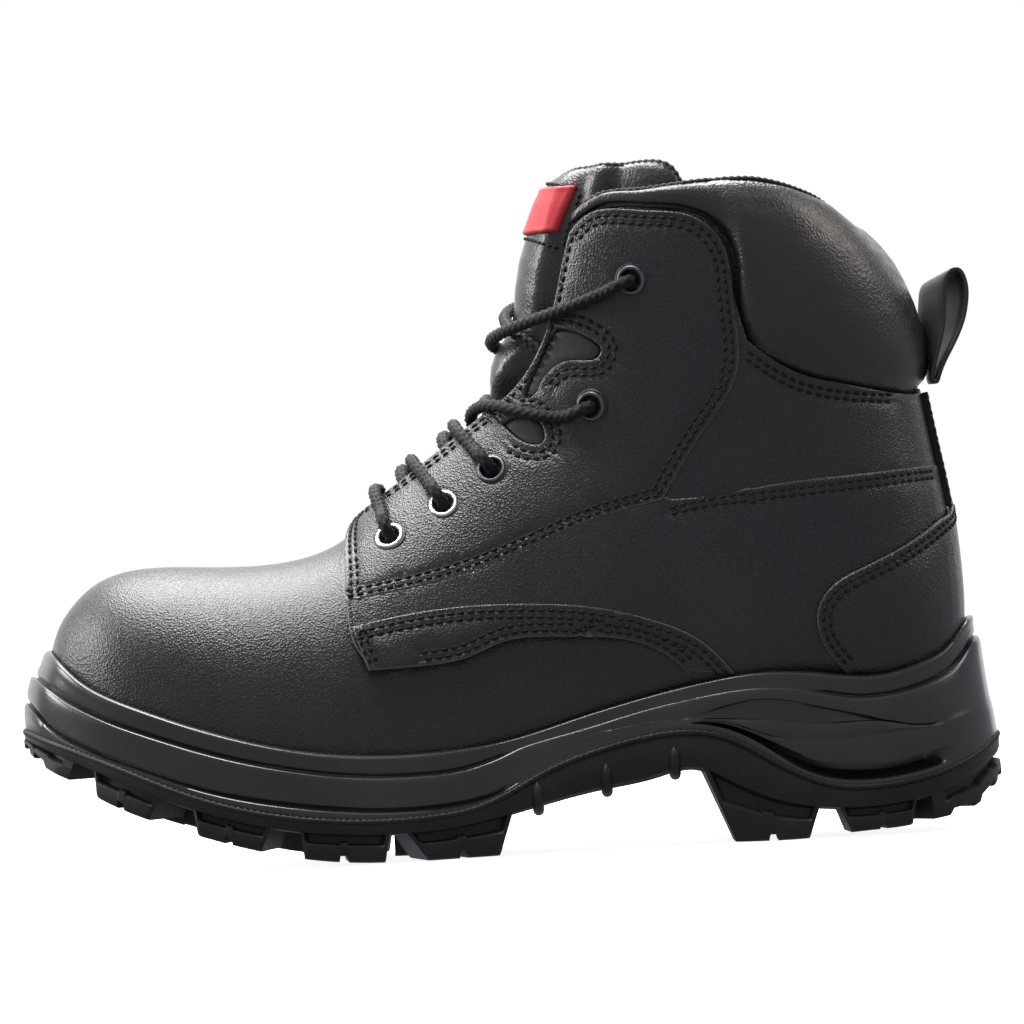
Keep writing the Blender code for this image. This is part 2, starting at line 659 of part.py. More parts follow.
def build_sole(parts, cutters, finishes):
    midsole = sole_block(
        "midsole",
        ((0.5, 0.0), (0.0, 0.08), (1.2, 0.14), (0.8, 0.2), (1.8, 0.46), (3.2, 0.54), (2.4, 0.6), (4.0, 0.84),
         (6.2, 1.0)),
        lambda x: parting(x) + 0.35, rim_top, 37, finishes["midsole"], parts,
    )
    subtract(midsole, [last_solid("last_space", CUP_GAP, finishes["midsole"], cutters)])
    outsole = sole_block(
        "outsole", ((2.4, 0.0), (0.0, 0.45), (0.0, 0.92), (0.8, 1.0)), running, parting, 37,
        finishes["outsole"], parts,
    )
    subtract(outsole, gap_cutters(finishes["outsole"], cutters))
    subtract(outsole, [channel_cutter(finishes["outsole"], cutters)])


# ---------------------------------------------------------------- inside the boot

def inner_plan(count, inset, x_from, x_to, rise):
    """Closed plan outline inside the last, at a height above its underside."""
    turn = np.linspace(0, math.pi, count)
    middle, reach = (x_from + x_to) / 2, (x_to - x_from) / 2
    x = middle - reach * np.cos(turn)
    half = np.zeros(count)
    for i in range(1, count - 1):
        u, v = last.uv(x[i], float(sole_bottom(x[i])) + rise)
        half[i] = abs(last.on(u, v)[1] - midline(x[i]))
    ends = np.sqrt(np.clip(1 - ((x - middle) / reach) ** 6, 0, 1))
    y = np.maximum(half - inset, 0) * ends
    one = np.stack([x, -y], axis=1)
    two = np.stack([x[-2:0:-1], y[-2:0:-1]], axis=1)
    outline = np.concatenate([one, two])
    outline[:, 1] += midline(outline[:, 0])
    return outline


def plan_solid(name, count, inset, x_from, x_to, low, high, rise, finish, collection, dish=0.0):
    """A flat piece on the last's underside, between two heights above it and inside it at a third."""
    outline = inner_plan(count, inset, x_from, x_to, rise)
    x = outline[:, 0]
    heel = dish * ease((x - 40) / 60)
    rings = [
        np.column_stack([outline, sole_bottom(x) + low]),
        np.column_stack([outline, sole_bottom(x) + high + heel]),
    ]
    size = len(outline)
    faces = [(j, (j + 1) % size, size + (j + 1) % size, size + j) for j in range(size)]
    faces += ladder_caps(count, 0, size)
    return place(name, mesh_of(name, np.concatenate(rings), faces), finish, collection)


def foot_strip(x_from, x_to, rise):
    """Outline of a piece across the top of the foot, down to a height above the last's underside."""
    foot = [(x, float(sole_bottom(x)) + rise) for x in np.linspace(x_from, x_to, 8)]
    return mirrored(last.trace(foot))


def build_inside(parts, finishes):
    plan_solid("puncture_plate", 22, 3.4, -122, 124, 0.5, 1.2, 1.2, finishes["steel"], parts)
    shank = [
        [(x, y, sole_bottom(x) + z) for y, z in ((-7, 1.8), (7, 1.8), (7, 2.8), (-7, 2.8))]
        for x in np.linspace(-16, 90, 9)
    ]
    loft("shank", shank, finishes["steel"], parts)
    plan_solid("insole_board", 22, 4.6, -127, 128, 3.1, 4.9, 2.8, finishes["board"], parts)
    footbed = plan_solid("footbed", 22, 8.4, -126, 127, 5.4, 10.0, 5.4, finishes["footbed"], parts, dish=1.5)
    turn_about(footbed, (FOOTBED_AXIS[0], 0.0, FOOTBED_AXIS[1]))

    panel("toe_cap", foot_strip(-134.0, -95.0, 7.6), -2.6, CAP_STEEL, finishes["steel"], parts)
    panel("toe_cap_edging", foot_strip(-94.4, -86.0, 7.6), -2.6, CAP_STEEL, finishes["rubber"], parts)
    panel("vamp_lining", foot_strip(-132.0, -49.0, 8.0), LINING_OUTSIDE, LINING_CLOTH, finishes["lining"], parts,
          step=LINING_STEP)

    foot = last.trace([(x, float(sole_bottom(x)) + 8.0) for x in (128, 112, 90, 70, 45, 20, -5, -30, -46)])
    front = last.trace([(-46.0, 84.0), (-16.0, 92.0), (4.0, 100.0), (34.0, 121.0), (55.0, 150.0), (60.0, 178.0)])
    high = last.trace([(66.0, 188.0), (72.5, 181.0), (74.8, 166.0), (76.5, 153.0), (91.0, 141.0), (107.0, 136.6)])
    base, top = last.back_u(54.0), last.back_u(133.6)
    outline = np.concatenate([[(base, 1.0)], foot, front, high, [(top, 1.0)]])
    panel("shaft_lining", round_back(outline)[1:], LINING_OUTSIDE, LINING_CLOTH, finishes["lining"], parts,
          step=LINING_STEP)

    counter = last.trace([(129.0, 62.0), (112.0, 60.0), (92.0, 60.0), (90.0, 76.0), (104.0, 86.0), (122.0, 93.0)])
    outline = np.concatenate([[(last.back_u(63.0), 1.0)], counter, [(last.back_u(96.0), 1.0)]])
    panel("heel_counter", round_back(outline)[1:], -3.2, 1.2, finishes["board"], parts, step=7.0)


# ---------------------------------------------------------------- upper

def ring(place_uv, radius, count=12):
    """A circle on the last about a place, in u and a."""
    u, a = place_uv
    du, da = 1e-3, 2e-3
    along = (last.on(u + du, a) - last.on(u - du, a)) / (2 * du)
    around = (last.on(u, a + da) - last.on(u, a - da)) / (2 * da)
    base = np.stack([along, around], axis=1)
    found = []
    for k in range(count):
        turn = 2 * math.pi * k / count
        one = along / np.linalg.norm(along)
        two = np.cross(last.normal(u, a), one)
        offset = radius * (math.cos(turn) * one + math.sin(turn) * two)
        found.append(np.array([u, a]) + np.linalg.lstsq(base, offset, rcond=None)[0])
    return np.array(found)


def eyestay_outline():
    """The eyelet panel: up the throat, down its rear edge and back along the seam over the quarter."""
    front = np.concatenate([smooth(((-48.2, 80.5), FLAP_FRONT[3]), 3)[:-1], smooth(THROAT_EDGE, 22)[:-1]])
    rear = smooth(EYESTAY_REAR, 22)
    lower = smooth(EYESTAY_LOWER, 13)[1:-1]
    return last.trace(np.concatenate([front, rear, lower]))


def quarter_outline():
    """The quarter: under the eyelet panel, along the middle seam to the back, then round the sole."""
    top = smooth([(x, z - 1.1) for x, z in EYESTAY_LOWER], 13)[::-1]
    seam = smooth(MID_SEAM, 9)
    back = [(last.back_u(z), 0.988) for z in (QUARTER_BACK_Z, 86.0, 62.0)]
    foot = last.trace([(x, float(sole_bottom(x)) + rise) for x, rise in QUARTER_FOOT])
    lower = last.trace(smooth(FLAP_LOWER, 17)[::-1][1:])
    front = last.trace(smooth([(-44.0, 62.4), (-46.4, 66.4), (-48.0, 76.6)], 3))
    return np.concatenate([last.trace(top), last.trace(seam), back, foot, lower, front])


def ankle_outline():
    """The panel between the collar's seam and the middle seam, behind the eyelet panel."""
    front = last.trace(smooth(((77.2, 171.0), (75.9, 142.0), (65.8, 126.6), (56.0, 112.4), (53.4, 107.6)), 12))
    low = last.trace([(56.6, 106.6), (81.5, 108.4), (109.6, 110.0)])
    back = [(last.back_u(114.4), 0.988), (last.back_u(135.0), 0.988)]
    top = last.trace([(108.2, 136.8), (93.2, 141.4), (79.6, 151.6)])
    return np.concatenate([front, low, back, top])


def inset(outline, distance):
    """A closed side view outline moved inwards."""
    outline = np.asarray(outline, float)
    ahead = np.roll(outline, -1, axis=0) - np.roll(outline, 1, axis=0)
    ahead /= np.linalg.norm(ahead, axis=1, keepdims=True)
    normal = np.stack([ahead[:, 1], -ahead[:, 0]], axis=1)
    turn = np.sign(np.sum(outline[:, 0] * np.roll(outline[:, 1], -1) - outline[:, 1] * np.roll(outline[:, 0], -1)))
    return outline - turn * distance * normal


def build_panels(parts, finishes):
    leather = finishes["leather"]
    windows = [smooth([*window, window[0]], 19)[:-1] for window in WINDOWS]
    raised = lambda u, a: flap_rise(*last.on(u, a)[:, [0, 2]].T)
    over = lambda u, a: raised(u, a) + PATCH_GAP + PATCH_LEATHER
    sunk = lambda u, a: raised(u, a) - 0.9
    for side, word in ((LATERAL, "lateral"), (MEDIAL, "medial")):
        flip = np.array([1, side])
        places = last.trace(EYELETS, side)
        holes = [ring(p, PUNCHED_HOLE_RADIUS, 10) for p in places]
        holes += [last.trace(window, side) for window in windows]
        panel(f"eyestay_{word}", eyestay_outline() * flip, raised, LEATHER, leather, parts, holes)
        for window, place_word in zip(windows, ("upper", "lower")):
            inlay = last.trace(inset(window, INLAY_GAP), side)
            panel(f"flex_inlay_{place_word}_{word}", inlay, sunk, 0.9, finishes["soft_leather"], parts)
        panel(f"quarter_{word}", quarter_outline() * flip, raised, LEATHER, leather, parts)
        panel(f"ankle_panel_{word}", ankle_outline() * flip, 0.0, LEATHER, leather, parts, step=7.0)
        upper = last.trace(smooth(BAND_UPPER, 13))
        lower = last.trace(smooth([(x, z + 0.6) for x, z in FLAP_LOWER[:7]] + [(54.5, 53.6)], 13))
        band = np.concatenate([upper, lower[::-1]])
        panel(f"side_band_{word}", band * flip, over, PATCH_LEATHER, leather, parts, step=7.0)

    front = last.trace(smooth([(x - 1.0, z) for x, z in FLAP_FRONT], 5)[:-1])
    throat_edge = last.trace([(-49.4, 92.0), (-48.4, 96.0)])
    lower = last.trace(smooth([(x - 0.4, z - 1.2) for x, z in FLAP_LOWER[:8]], 12)[1:])
    foot = last.trace([(x, float(sole_bottom(x)) + 3.0) for x in (54, 34, 12, -12, -36, -60, -84, -108, -126, -137)])
    outline = np.concatenate([throat_edge[::-1], front[::-1], lower, foot, [(0.006, 0.5)]])
    panel("vamp", mirrored(outline), 0.0, LEATHER, leather, parts)

    edge = last.trace(smooth(HEEL_PATCH_EDGE, 9))
    base = last.trace([(x, float(rim_top(x + (x - 96) / 5)) + 2.2) for x in (106, 116, 126, 132, 136.5)])
    ends = [(last.back_u(71.0), 1.0)], [(last.back_u(HEEL_PATCH_BACK_Z), 1.0)]
    outline = np.concatenate([ends[0], base[::-1], edge, ends[1]])
    panel("heel_patch", round_back(outline)[1:], PATCH_GAP + PATCH_LEATHER, PATCH_LEATHER, leather, parts, step=7.0)

    strip = [(last.back_u(z), 1.0 - 0.035) for z in np.linspace(103.0, 134.5, 5)]
    panel("back_strip", round_back(strip), PATCH_GAP + 1.2, 1.2, leather, parts, step=7.0)


def collar_sections():
    """Rings of the padded collar, from one front end round the back to the other."""
    count = 15
    lower = last.trace(smooth(COLLAR_LOWER, count - 3), 1)
    upper = last.trace(smooth(COLLAR_TOP, count - 3), 1)
    back = [(last.back_u(COLLAR_BACK_LOWER_Z), 1.0), (last.back_u(COLLAR_BACK_TOP_Z), 1.0)]
    lower = smooth(np.concatenate([lower, [back[0]]]), count)
    upper = smooth(np.concatenate([upper, [back[1]]]), count)
    rings = []
    for i in range(count):
        low, high = lower[i], upper[i]
        tall = length_of([last.on(*low), last.on(*high)])
        puff = min(5.5, 0.16 * tall)
        shape = ((0.0, -1.6), (0.12, puff * 0.55), (0.4, puff), (0.75, puff * 0.75), (0.97, -0.4),
                 (1.03, -4.0), (0.93, -8.4), (0.6, -9.6), (0.25, -8.2), (0.02, -4.4))
        if tall < 14:
            shape = tuple((r, d if d > -2 else max(d, -4.6)) for r, d in shape)
        rings.append([last.off(*(low + (high - low) * r), d) for r, d in shape])
    rings = np.array(rings)
    other = rings[-2::-1].copy()
    flip = midline(other[..., 0])
    other[..., 1] = 2 * flip - other[..., 1]
    return np.concatenate([rings, other])


def tongue_depth(u, v):
    """Offset of the tongue's outer face: proud between the flaps at the ankle, deep elsewhere."""
    mm = v * span(u)
    edge = throat_v(u) * span(u)
    middle = np.interp(u, *np.transpose(TONGUE_MIDDLE))
    at_edge = np.minimum(middle, -6.9)
    side = -8.8 - 3.0 * ease((u - last.uv(6.0, 174.0)[0]) / 0.12)
    depth = middle + (at_edge - middle) * ease((mm - edge + 13.0) / 10.0)
    return depth + (side - at_edge) * ease((mm - edge) / 9.0)


def tongue_on(u, a, lift):
    return last.off(u, a, tongue_depth(u, np.abs(a)) + lift)


def tongue_places():
    """Half of the tongue in u and v: rows up the tongue, columns from its middle to its side edge."""
    start = last.uv(-47.0, 98.0)[0]
    side = smooth(last.trace(TONGUE_SIDE) * [430, 130], TONGUE_ROWS) / [430, 130]
    top = smooth(last.trace(TONGUE_TOP) * [430, 130], TONGUE_COLUMNS) / [430, 130]
    top[0, 1] = 0.0
    middle = np.stack([np.linspace(start, top[0, 0], TONGUE_ROWS), np.zeros(TONGUE_ROWS)], axis=1)
    bottom = middle[0] + (side[0] - middle[0]) * np.linspace(0, 1, TONGUE_COLUMNS)[:, None]
    r = np.linspace(0, 1, TONGUE_ROWS)[:, None, None]
    c = np.linspace(0, 1, TONGUE_COLUMNS)[None, :, None]
    bottom_bow = bottom[None] - (1 - c) * bottom[0] - c * bottom[-1]
    top_bow = top[None] - (1 - c) * top[0] - c * top[-1]
    return middle[:, None] * (1 - c) + side[:, None] * c + bottom_bow * (1 - r) + top_bow * r


def tongue_grid(lift):
    half = tongue_places()
    whole = np.concatenate([half[:, ::-1], half[:, 1:] * [1, -1]], axis=1)
    return tongue_on(whole[..., 0], whole[..., 1], lift)


def label_grid(lift):
    low, high = (last.uv(*place)[0] for place in LABEL)
    u = np.linspace(low, high, 4)[:, None]
    mm = np.linspace(LABEL_HALF, -LABEL_HALF, 11)[None, :]
    return tongue_on(u + 0 * mm, mm / span(u), lift)


def build_upper_pads(parts, finishes):
    loft("collar", collar_sections(), finishes["soft_leather"], parts)
    tongue = slab("tongue", tongue_grid(0.0), tongue_grid(-TONGUE_THICKNESS), finishes["soft_leather"], parts)
    label = slab("tongue_label", label_grid(1.6), label_grid(0.95), finishes["label"], parts)
    for made in (tongue, label):
        turn_about(made, (TONGUE_AXIS[0], 0.0, TONGUE_AXIS[1]))


# ---------------------------------------------------------------- fastenings

def stand(u, a, height):
    """Matrix that stands something on the last, with its Z along the normal, in metres."""
    normal = Vector(last.normal(u, a))
    turn = normal.to_track_quat("Z", "Y").to_matrix().to_4x4()
    return Matrix.Translation(Vector(last.off(u, a, height)) * MM) @ turn


def turned(name, profile, steps, matrix, finish, collection):
    """A closed profile of radius and height, turned about its own Z by a Screw modifier."""
    mesh = bpy.data.meshes.new(name)
    size = len(profile)
    mesh.from_pydata([(r * MM, 0.0, z * MM) for r, z in profile], [(i, (i + 1) % size) for i in range(size)], [])
    made = place(name, mesh, finish, collection)
    made.matrix_world = matrix
    screw = made.modifiers.new("turn", "SCREW")
    screw.steps = steps
    screw.render_steps = steps
    screw.use_merge_vertices = True
    screw.merge_threshold = 1e-6
    screw.use_smooth_shade = True
    return made


def build_eyelets(parts, finishes):
    """Eyelets with a flange in front and a rolled rim behind the leather."""
    flange, roll = EYELET_FLANGE_RADIUS, EYELET_ROLL_RADIUS
    hole, barrel = EYELET_HOLE_RADIUS, EYELET_BARREL_RADIUS
    profile = (
        (hole, 0.6), (hole + 0.7, 1.05), (flange - 0.5, 0.95), (flange, 0.5), (barrel, 0.5), (barrel, -2.7),
        (roll, -2.7), (roll, -3.2), (hole, -3.2),
    )
    for side, word in ((LATERAL, "lateral"), (MEDIAL, "medial")):
        for number, (x, z) in enumerate(EYELETS, 1):
            u, v = last.uv(x, z)
            matrix = stand(u, v * side, float(flap_rise(x, z)))
            turned(f"eyelet_{word}_{number}", profile, 10, matrix, finishes["eyelet"], parts)


def eyelet_place(row, side):
    u, v = last.uv(*EYELETS[row])
    return np.array([u, v * side])


def toward(start, end, distance):
    """The place that lies some mm from one place towards another."""
    step = (end - start) * 0.02
    return start + step * distance / np.linalg.norm(last.on(*(start + step)) - last.on(*start))


def eyelet_passage(row, side, before, after):
    """The lace over the flap, down through an eyelet and on inside, between the places before and after it."""
    place_uv = eyelet_place(row, side)
    rise = float(flap_rise(*EYELETS[row]))
    steps = ((before, 7.6, 3.0), (before, 4.2, 4.1), (before, 1.2, 2.9), (before, 0.2, 0.2),
             (after, 0.0, -3.6), (after, 2.2, -6.0), (after, 6.0, -6.1))
    return [last.off(*toward(place_uv, end, mm), rise + height) for end, mm, height in steps]


def over_flap(place_uv, height):
    """A point over a flap, which itself rises a little towards the toe."""
    x, _, z = last.on(*place_uv)
    return last.off(*place_uv, float(flap_rise(x, z)) + height)


def edge_point(u, side, height):
    """A point over the throat's edge."""
    return over_flap(np.array([u, throat_v(u) * side]), height)


def edge_place(start, end):
    """Where the straight line between two places crosses the throat's edge, nearest its end on a flap."""
    share = np.linspace(0, 1, 81)[:, None]
    line = start + (end - start) * share
    return line[np.argmin(np.abs(np.abs(line[:, 1]) - throat_v(line[:, 0])))]


def crossing_place(row, side):
    """Where the strand that leaves an eyelet passes the middle of the throat."""
    start, end = eyelet_place(row, side)[0], eyelet_place(row + 1, -side)[0]
    return np.array([start + (end - start) * LACE_LEVELS[row][0 if side == MEDIAL else 1][0], 0.0])


def crossing(row, side):
    """From inside an eyelet, across the throat and over the other flap to the next row."""
    middle = crossing_place(row, side)
    out, over = edge_place(middle, eyelet_place(row, side)), edge_place(middle, eyelet_place(row + 1, -side))
    height = LACE_LEVELS[row][0 if side == MEDIAL else 1][1]
    between = out + (middle - out) * 0.4
    clear = max(float(tongue_depth(between[0], abs(between[1]))) + 2.25, -4.4)
    points = [
        last.off(*out, -4.3),
        last.off(*between, clear),
        last.off(*middle, height),
        edge_point(over[0], -side, 2.6),
    ]
    if row > 1:
        points.append(over_flap((over + eyelet_place(row + 1, -side)) / 2, 2.6))
    return points


def lace_chain(side):
    """From the middle of the lowest bar to the end of one tail."""
    share, height = LACE_BAR
    low, next_up = eyelet_place(0, side)[0], eyelet_place(1, side)[0]
    before = np.array([low + (next_up - low) * share, 0.0])
    points = [last.off(*before, height), edge_point(edge_place(before, eyelet_place(0, side))[0], side, 2.9)]
    for row in range(len(EYELETS) - 1):
        after = crossing_place(row, side)
        points += eyelet_passage(row, side, before, after) + crossing(row, side)
        before, side = after, -side
    points += eyelet_passage(len(EYELETS) - 1, side, before, last.trace([TAIL[0][:2]], side)[0])[:-2]
    return points + tail_points(TAIL, side)


def tail_points(places, side):
    return [last.off(*last.trace([(x, z)], side)[0], depth) for x, z, depth in places]


def tube(name, line, radius, finish, collection):
    """A round tube along a line of points, as a curve with a bevel."""
    curve = bpy.data.curves.new(name, "CURVE")
    curve.dimensions = "3D"
    curve.bevel_depth = radius * MM
    curve.bevel_resolution = 1
    curve.use_fill_caps = True
    spline = curve.splines.new("POLY")
    spline.points.add(len(line) - 1)
    for point, place_mm in zip(spline.points, line):
        point.co = (*(Vector(place_mm) * MM), 1.0)
    curve.materials.append(finish)
    made = bpy.data.objects.new(name, curve)
    collection.objects.link(made)
    return made


def build_lace(parts, finishes):
    points = np.array(lace_chain(LATERAL)[::-1] + lace_chain(MEDIAL)[1:])
    line = smooth(points, 2 + round(length_of(points) * 1.03 / LACE_STEP))
    tube("lace", line, LACE_RADIUS, finishes["lace"], parts)
    for side, number in ((LATERAL, 1), (MEDIAL, 2)):
        end = tail_points(AGLET, side)
        tube(f"aglet_{number}", np.linspace(end[0], end[1], 3), AGLET_RADIUS, finishes["plastic"], parts)


def build_loop(parts, finishes):
    """The pull loop: a folded strap, sewn in at its root, which turns and leans as it rises."""
    path = smooth(LOOP_PATH, 27)
    ahead = np.roll(path, -1, axis=0) - np.roll(path, 1, axis=0)
    ahead /= np.linalg.norm(ahead, axis=1, keepdims=True)
    normal = np.stack([-ahead[:, 1], ahead[:, 0]], axis=1) * LOOP_THICKNESS / 2
    tall = max(z for _, z in LOOP_PATH)
    rings = []
    for (x, z), (nx, nz) in zip(path, normal):
        turn = LOOP_TURN * ease(z / tall * 1.6)
        lean = LOOP_LEAN * ease(z / tall * 1.3)
        ring = []
        for reach, away in ((-1, -1), (1, -1), (1, 1), (-1, 1)):
            y = reach * LOOP_HALF_WIDTH
            ring.append((
                LOOP_ROOT[0] + x + away * nx - y * math.sin(turn),
                float(midline(LOOP_ROOT[0])) + y * math.cos(turn),
                LOOP_ROOT[1] + z + away * nz - y * math.sin(lean),
            ))
        rings.append(ring)
    made = loft("pull_loop", rings, finishes["leather"], parts, closed=True)
    turn_about(made, (LOOP_ROOT[0], float(midline(LOOP_ROOT[0])), LOOP_ROOT[1]))


def main():
    for existing in list(bpy.data.objects):
        bpy.data.objects.remove(existing)
    parts = bpy.data.collections.new("steel_toe_work_boot")
    cutters = bpy.data.collections.new("cutters")
    for collection in (parts, cutters):
        bpy.context.scene.collection.children.link(collection)
    finishes = {
        "leather": material("black leather", (0.022, 0.021, 0.024), 0.42),
        "soft_leather": material("soft black leather", (0.03, 0.028, 0.028), 0.36),
        "midsole": material("black polyurethane", (0.02, 0.02, 0.021), 0.4),
        "outsole": material("black rubber", (0.018, 0.018, 0.018), 0.55),
        "rubber": material("edging rubber", (0.05, 0.05, 0.05), 0.7),
        "steel": material("steel", (0.55, 0.56, 0.58), 0.35, 1.0),
        "board": material("fibre board", (0.42, 0.36, 0.28), 0.9),
        "footbed": material("footbed foam", (0.05, 0.05, 0.055), 0.9),
        "lining": material("black lining cloth", (0.04, 0.04, 0.042), 0.95),
        "label": material("red label", (0.62, 0.06, 0.06), 0.5),
        "eyelet": material("eyelet metal", (0.32, 0.33, 0.35), 0.3, 1.0),
        "lace": material("black lace", (0.02, 0.02, 0.02), 0.8),
        "plastic": material("aglet plastic", (0.03, 0.03, 0.03), 0.3),
    }
    build_sole(parts, cutters, finishes)
    build_inside(parts, finishes)
    build_panels(parts, finishes)
    build_upper_pads(parts, finishes)
    build_eyelets(parts, finishes)
    build_lace(parts, finishes)
    build_loop(parts, finishes)


main()
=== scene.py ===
"""Looks of the steel toe work boot: leather, stitching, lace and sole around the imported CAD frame.

Lengths are in millimetres until a mesh is made. The upper's surface is the CAD part's last surface: a
section plane sweeps from the toe round the instep to the top of the shaft. `u` runs along that sweep, 0 to 1,
and `a` runs round a section, 0 at the front, 1 at the back by the lateral side, and on to 2 at the front by
the medial side, so that -a is the mirror image of a. A finish is named by its key in FINISH.
"""

import math

import bmesh
import bpy
import numpy as np
from mathutils import Matrix, Vector, kdtree
from mathutils.geometry import delaunay_2d_cdt


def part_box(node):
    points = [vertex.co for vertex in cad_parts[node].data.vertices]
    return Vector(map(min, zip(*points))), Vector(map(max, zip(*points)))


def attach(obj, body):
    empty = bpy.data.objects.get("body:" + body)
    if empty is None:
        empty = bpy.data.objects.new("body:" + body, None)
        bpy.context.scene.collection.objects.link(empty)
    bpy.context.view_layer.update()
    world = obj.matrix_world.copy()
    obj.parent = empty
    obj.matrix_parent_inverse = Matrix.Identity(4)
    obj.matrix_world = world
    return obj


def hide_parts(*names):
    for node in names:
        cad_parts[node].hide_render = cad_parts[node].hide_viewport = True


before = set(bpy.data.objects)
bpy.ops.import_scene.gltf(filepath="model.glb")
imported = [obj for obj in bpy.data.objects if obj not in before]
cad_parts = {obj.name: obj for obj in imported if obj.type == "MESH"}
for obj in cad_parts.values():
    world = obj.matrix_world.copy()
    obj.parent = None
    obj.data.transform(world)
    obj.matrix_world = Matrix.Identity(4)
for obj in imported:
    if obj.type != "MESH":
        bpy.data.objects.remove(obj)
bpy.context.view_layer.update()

MM = 0.001
LATERAL, MEDIAL = 1, -1
SIDES = ((LATERAL, "lateral"), (MEDIAL, "medial"))

# The last's sections: front point x and z, back point x and z, half width, place of the widest point from
# front to back, and the roundness of the curve before and after it (2 is an ellipse).
SECTIONS = (
    (-142.0, 68.5, -142.0, 60.0, 0.0, 0.80, 2.3, 4.0),
    (-139.8, 75.0, -139.8, 56.5, 15.5, 0.80, 2.3, 4.0),
    (-135.0, 82.5, -135.0, 52.0, 25.0, 0.80, 2.3, 4.5),
    (-126.0, 90.0, -126.0, 47.0, 34.0, 0.82, 2.3, 5.0),
    (-111.0, 93.6, -111.0, 41.0, 41.0, 0.84, 2.3, 5.0),
    (-88.0, 92.8, -88.0, 33.0, 45.5, 0.85, 2.3, 5.0),
    (-66.0, 93.4, -66.0, 26.5, 46.5, 0.84, 2.3, 5.0),
    (-50.0, 98.5, -43.0, 24.0, 45.5, 0.80, 2.2, 5.0),
    (-37.0, 109.5, -16.0, 24.5, 42.5, 0.76, 2.1, 5.0),
    (-24.0, 120.5, 12.0, 28.5, 39.0, 0.72, 2.0, 4.5),
    (-11.0, 131.0, 45.0, 35.5, 37.0, 0.66, 2.0, 4.0),
    (-3.5, 139.5, 80.0, 39.5, 36.5, 0.62, 2.0, 3.8),
    (-1.8, 146.0, 112.0, 39.5, 37.0, 0.60, 2.0, 3.5),
    (-1.2, 151.5, 132.0, 44.0, 37.5, 0.58, 2.0, 3.2),
    (0.0, 158.0, 139.8, 60.0, 38.5, 0.55, 2.0, 2.8),
    (2.5, 165.5, 140.5, 80.0, 39.5, 0.53, 2.0, 2.5),
    (6.0, 174.0, 138.8, 101.0, 41.0, 0.50, 2.0, 2.3),
    (9.5, 183.0, 135.5, 121.0, 42.0, 0.48, 2.0, 2.2),
    (12.5, 191.5, 132.5, 139.0, 43.0, 0.48, 2.0, 2.2),
    (16.0, 200.5, 128.5, 157.0, 44.0, 0.48, 2.0, 2.2),
    (19.5, 209.5, 122.5, 175.0, 44.5, 0.48, 2.0, 2.2),
    (23.5, 218.5, 115.5, 193.0, 45.0, 0.48, 2.0, 2.2),
    (27.5, 227.5, 108.5, 211.0, 45.0, 0.48, 2.0, 2.2),
)
MIDLINE = ((-152, 8.0), (-120, 6.0), (-90, 2.8), (-60, 0.0), (0, -0.6), (40, 0.8), (100, 2.4), (152, 2.6))

# The section at the heel's corner, where the back seam starts, and the one at the top of the sole's cup.
HEEL_SECTION = 13
CUP_SECTION = 17
# About how many millimetres one unit of u and of a are, to lay panels out flat.
FLAT = np.array([430.0, 130.0])
# How finely a panel's outline is split, how far beside a seam its points lie, and how wide the pale band
# along a panel's edge is: raw edge colour with a painted edge highlight.
OUTLINE_STEP = 1.7
SEAM_SIDE = 0.9
RAW_EDGE_AND_HIGHLIGHT = 0.35

# The sole: half length, points along half of its outline, half width at each x, and the heights of its lines.
SOLE_HALF_LENGTH = 152.0
SOLE_COUNT = 301
SOLE_WIDTH = (
    (-151, 8.5), (-146, 22.5), (-135, 35.0), (-118, 45.5), (-95, 51.5), (-65, 53.6), (-35, 50.5), (0, 44.0),
    (35, 40.0), (70, 39.5), (100, 40.0), (124, 37.0), (140, 28.0), (149, 14.5),
)
RIM_TOP = (
    (-152, 72.0), (-140, 68.0), (-136, 63.8), (-131, 59.4), (-124, 55.3), (-117, 52.2), (-110, 49.4),
    (-103, 46.7), (-89, 41.9), (-75, 37.9), (-61, 35.0), (-47, 33.3), (-35, 32.8), (-15, 33.6), (3, 36.2),
    (20, 40.8), (40, 45.8), (60, 49.8), (80, 51.8), (99, 50.2), (115, 49.2), (128, 52.4), (137, 57.5),
    (144, 65.0), (152, 66.5),
)
PARTING = (
    (-152, 45.0), (-139, 40.0), (-118, 31.0), (-98, 22.5), (-72, 15.5), (-47, 12.6), (-25, 12.8), (-11, 15.0),
    (0, 19.5), (11, 25.0), (22, 28.9), (39, 33.0), (55, 34.3), (66, 32.0), (76, 26.6), (87, 20.1), (97, 16.0),
    (108, 14.6), (124, 16.0), (135, 18.8), (145, 23.4), (152, 28.5),
)
TREAD_ROOF = (
    (-152, 42.0), (-136, 35.0), (-106, 21.5), (-72, 11.4), (-47, 8.4), (-25, 8.4), (-2, 11.8), (11, 14.8),
    (27, 18.0), (44, 20.8), (56, 22.6), (66, 18.0), (78, 12.0), (94, 8.6), (110, 8.0), (125, 9.6),
    (140, 14.0), (152, 22.0),
)
RUNNING = (
    (-152, 40.0), (-146, 34.5), (-138, 29.6), (-128, 23.6), (-113, 16.6), (-98, 11.2), (-78, 5.2), (-65, 2.4),
    (-50, 0.5), (-40, 0.0), (-5, 0.0), (20, 0.0), (66, 0.0), (92, 0.0), (104, 1.0), (122, 2.2), (134, 4.2),
    (146, 8.6), (152, 15.0),
)
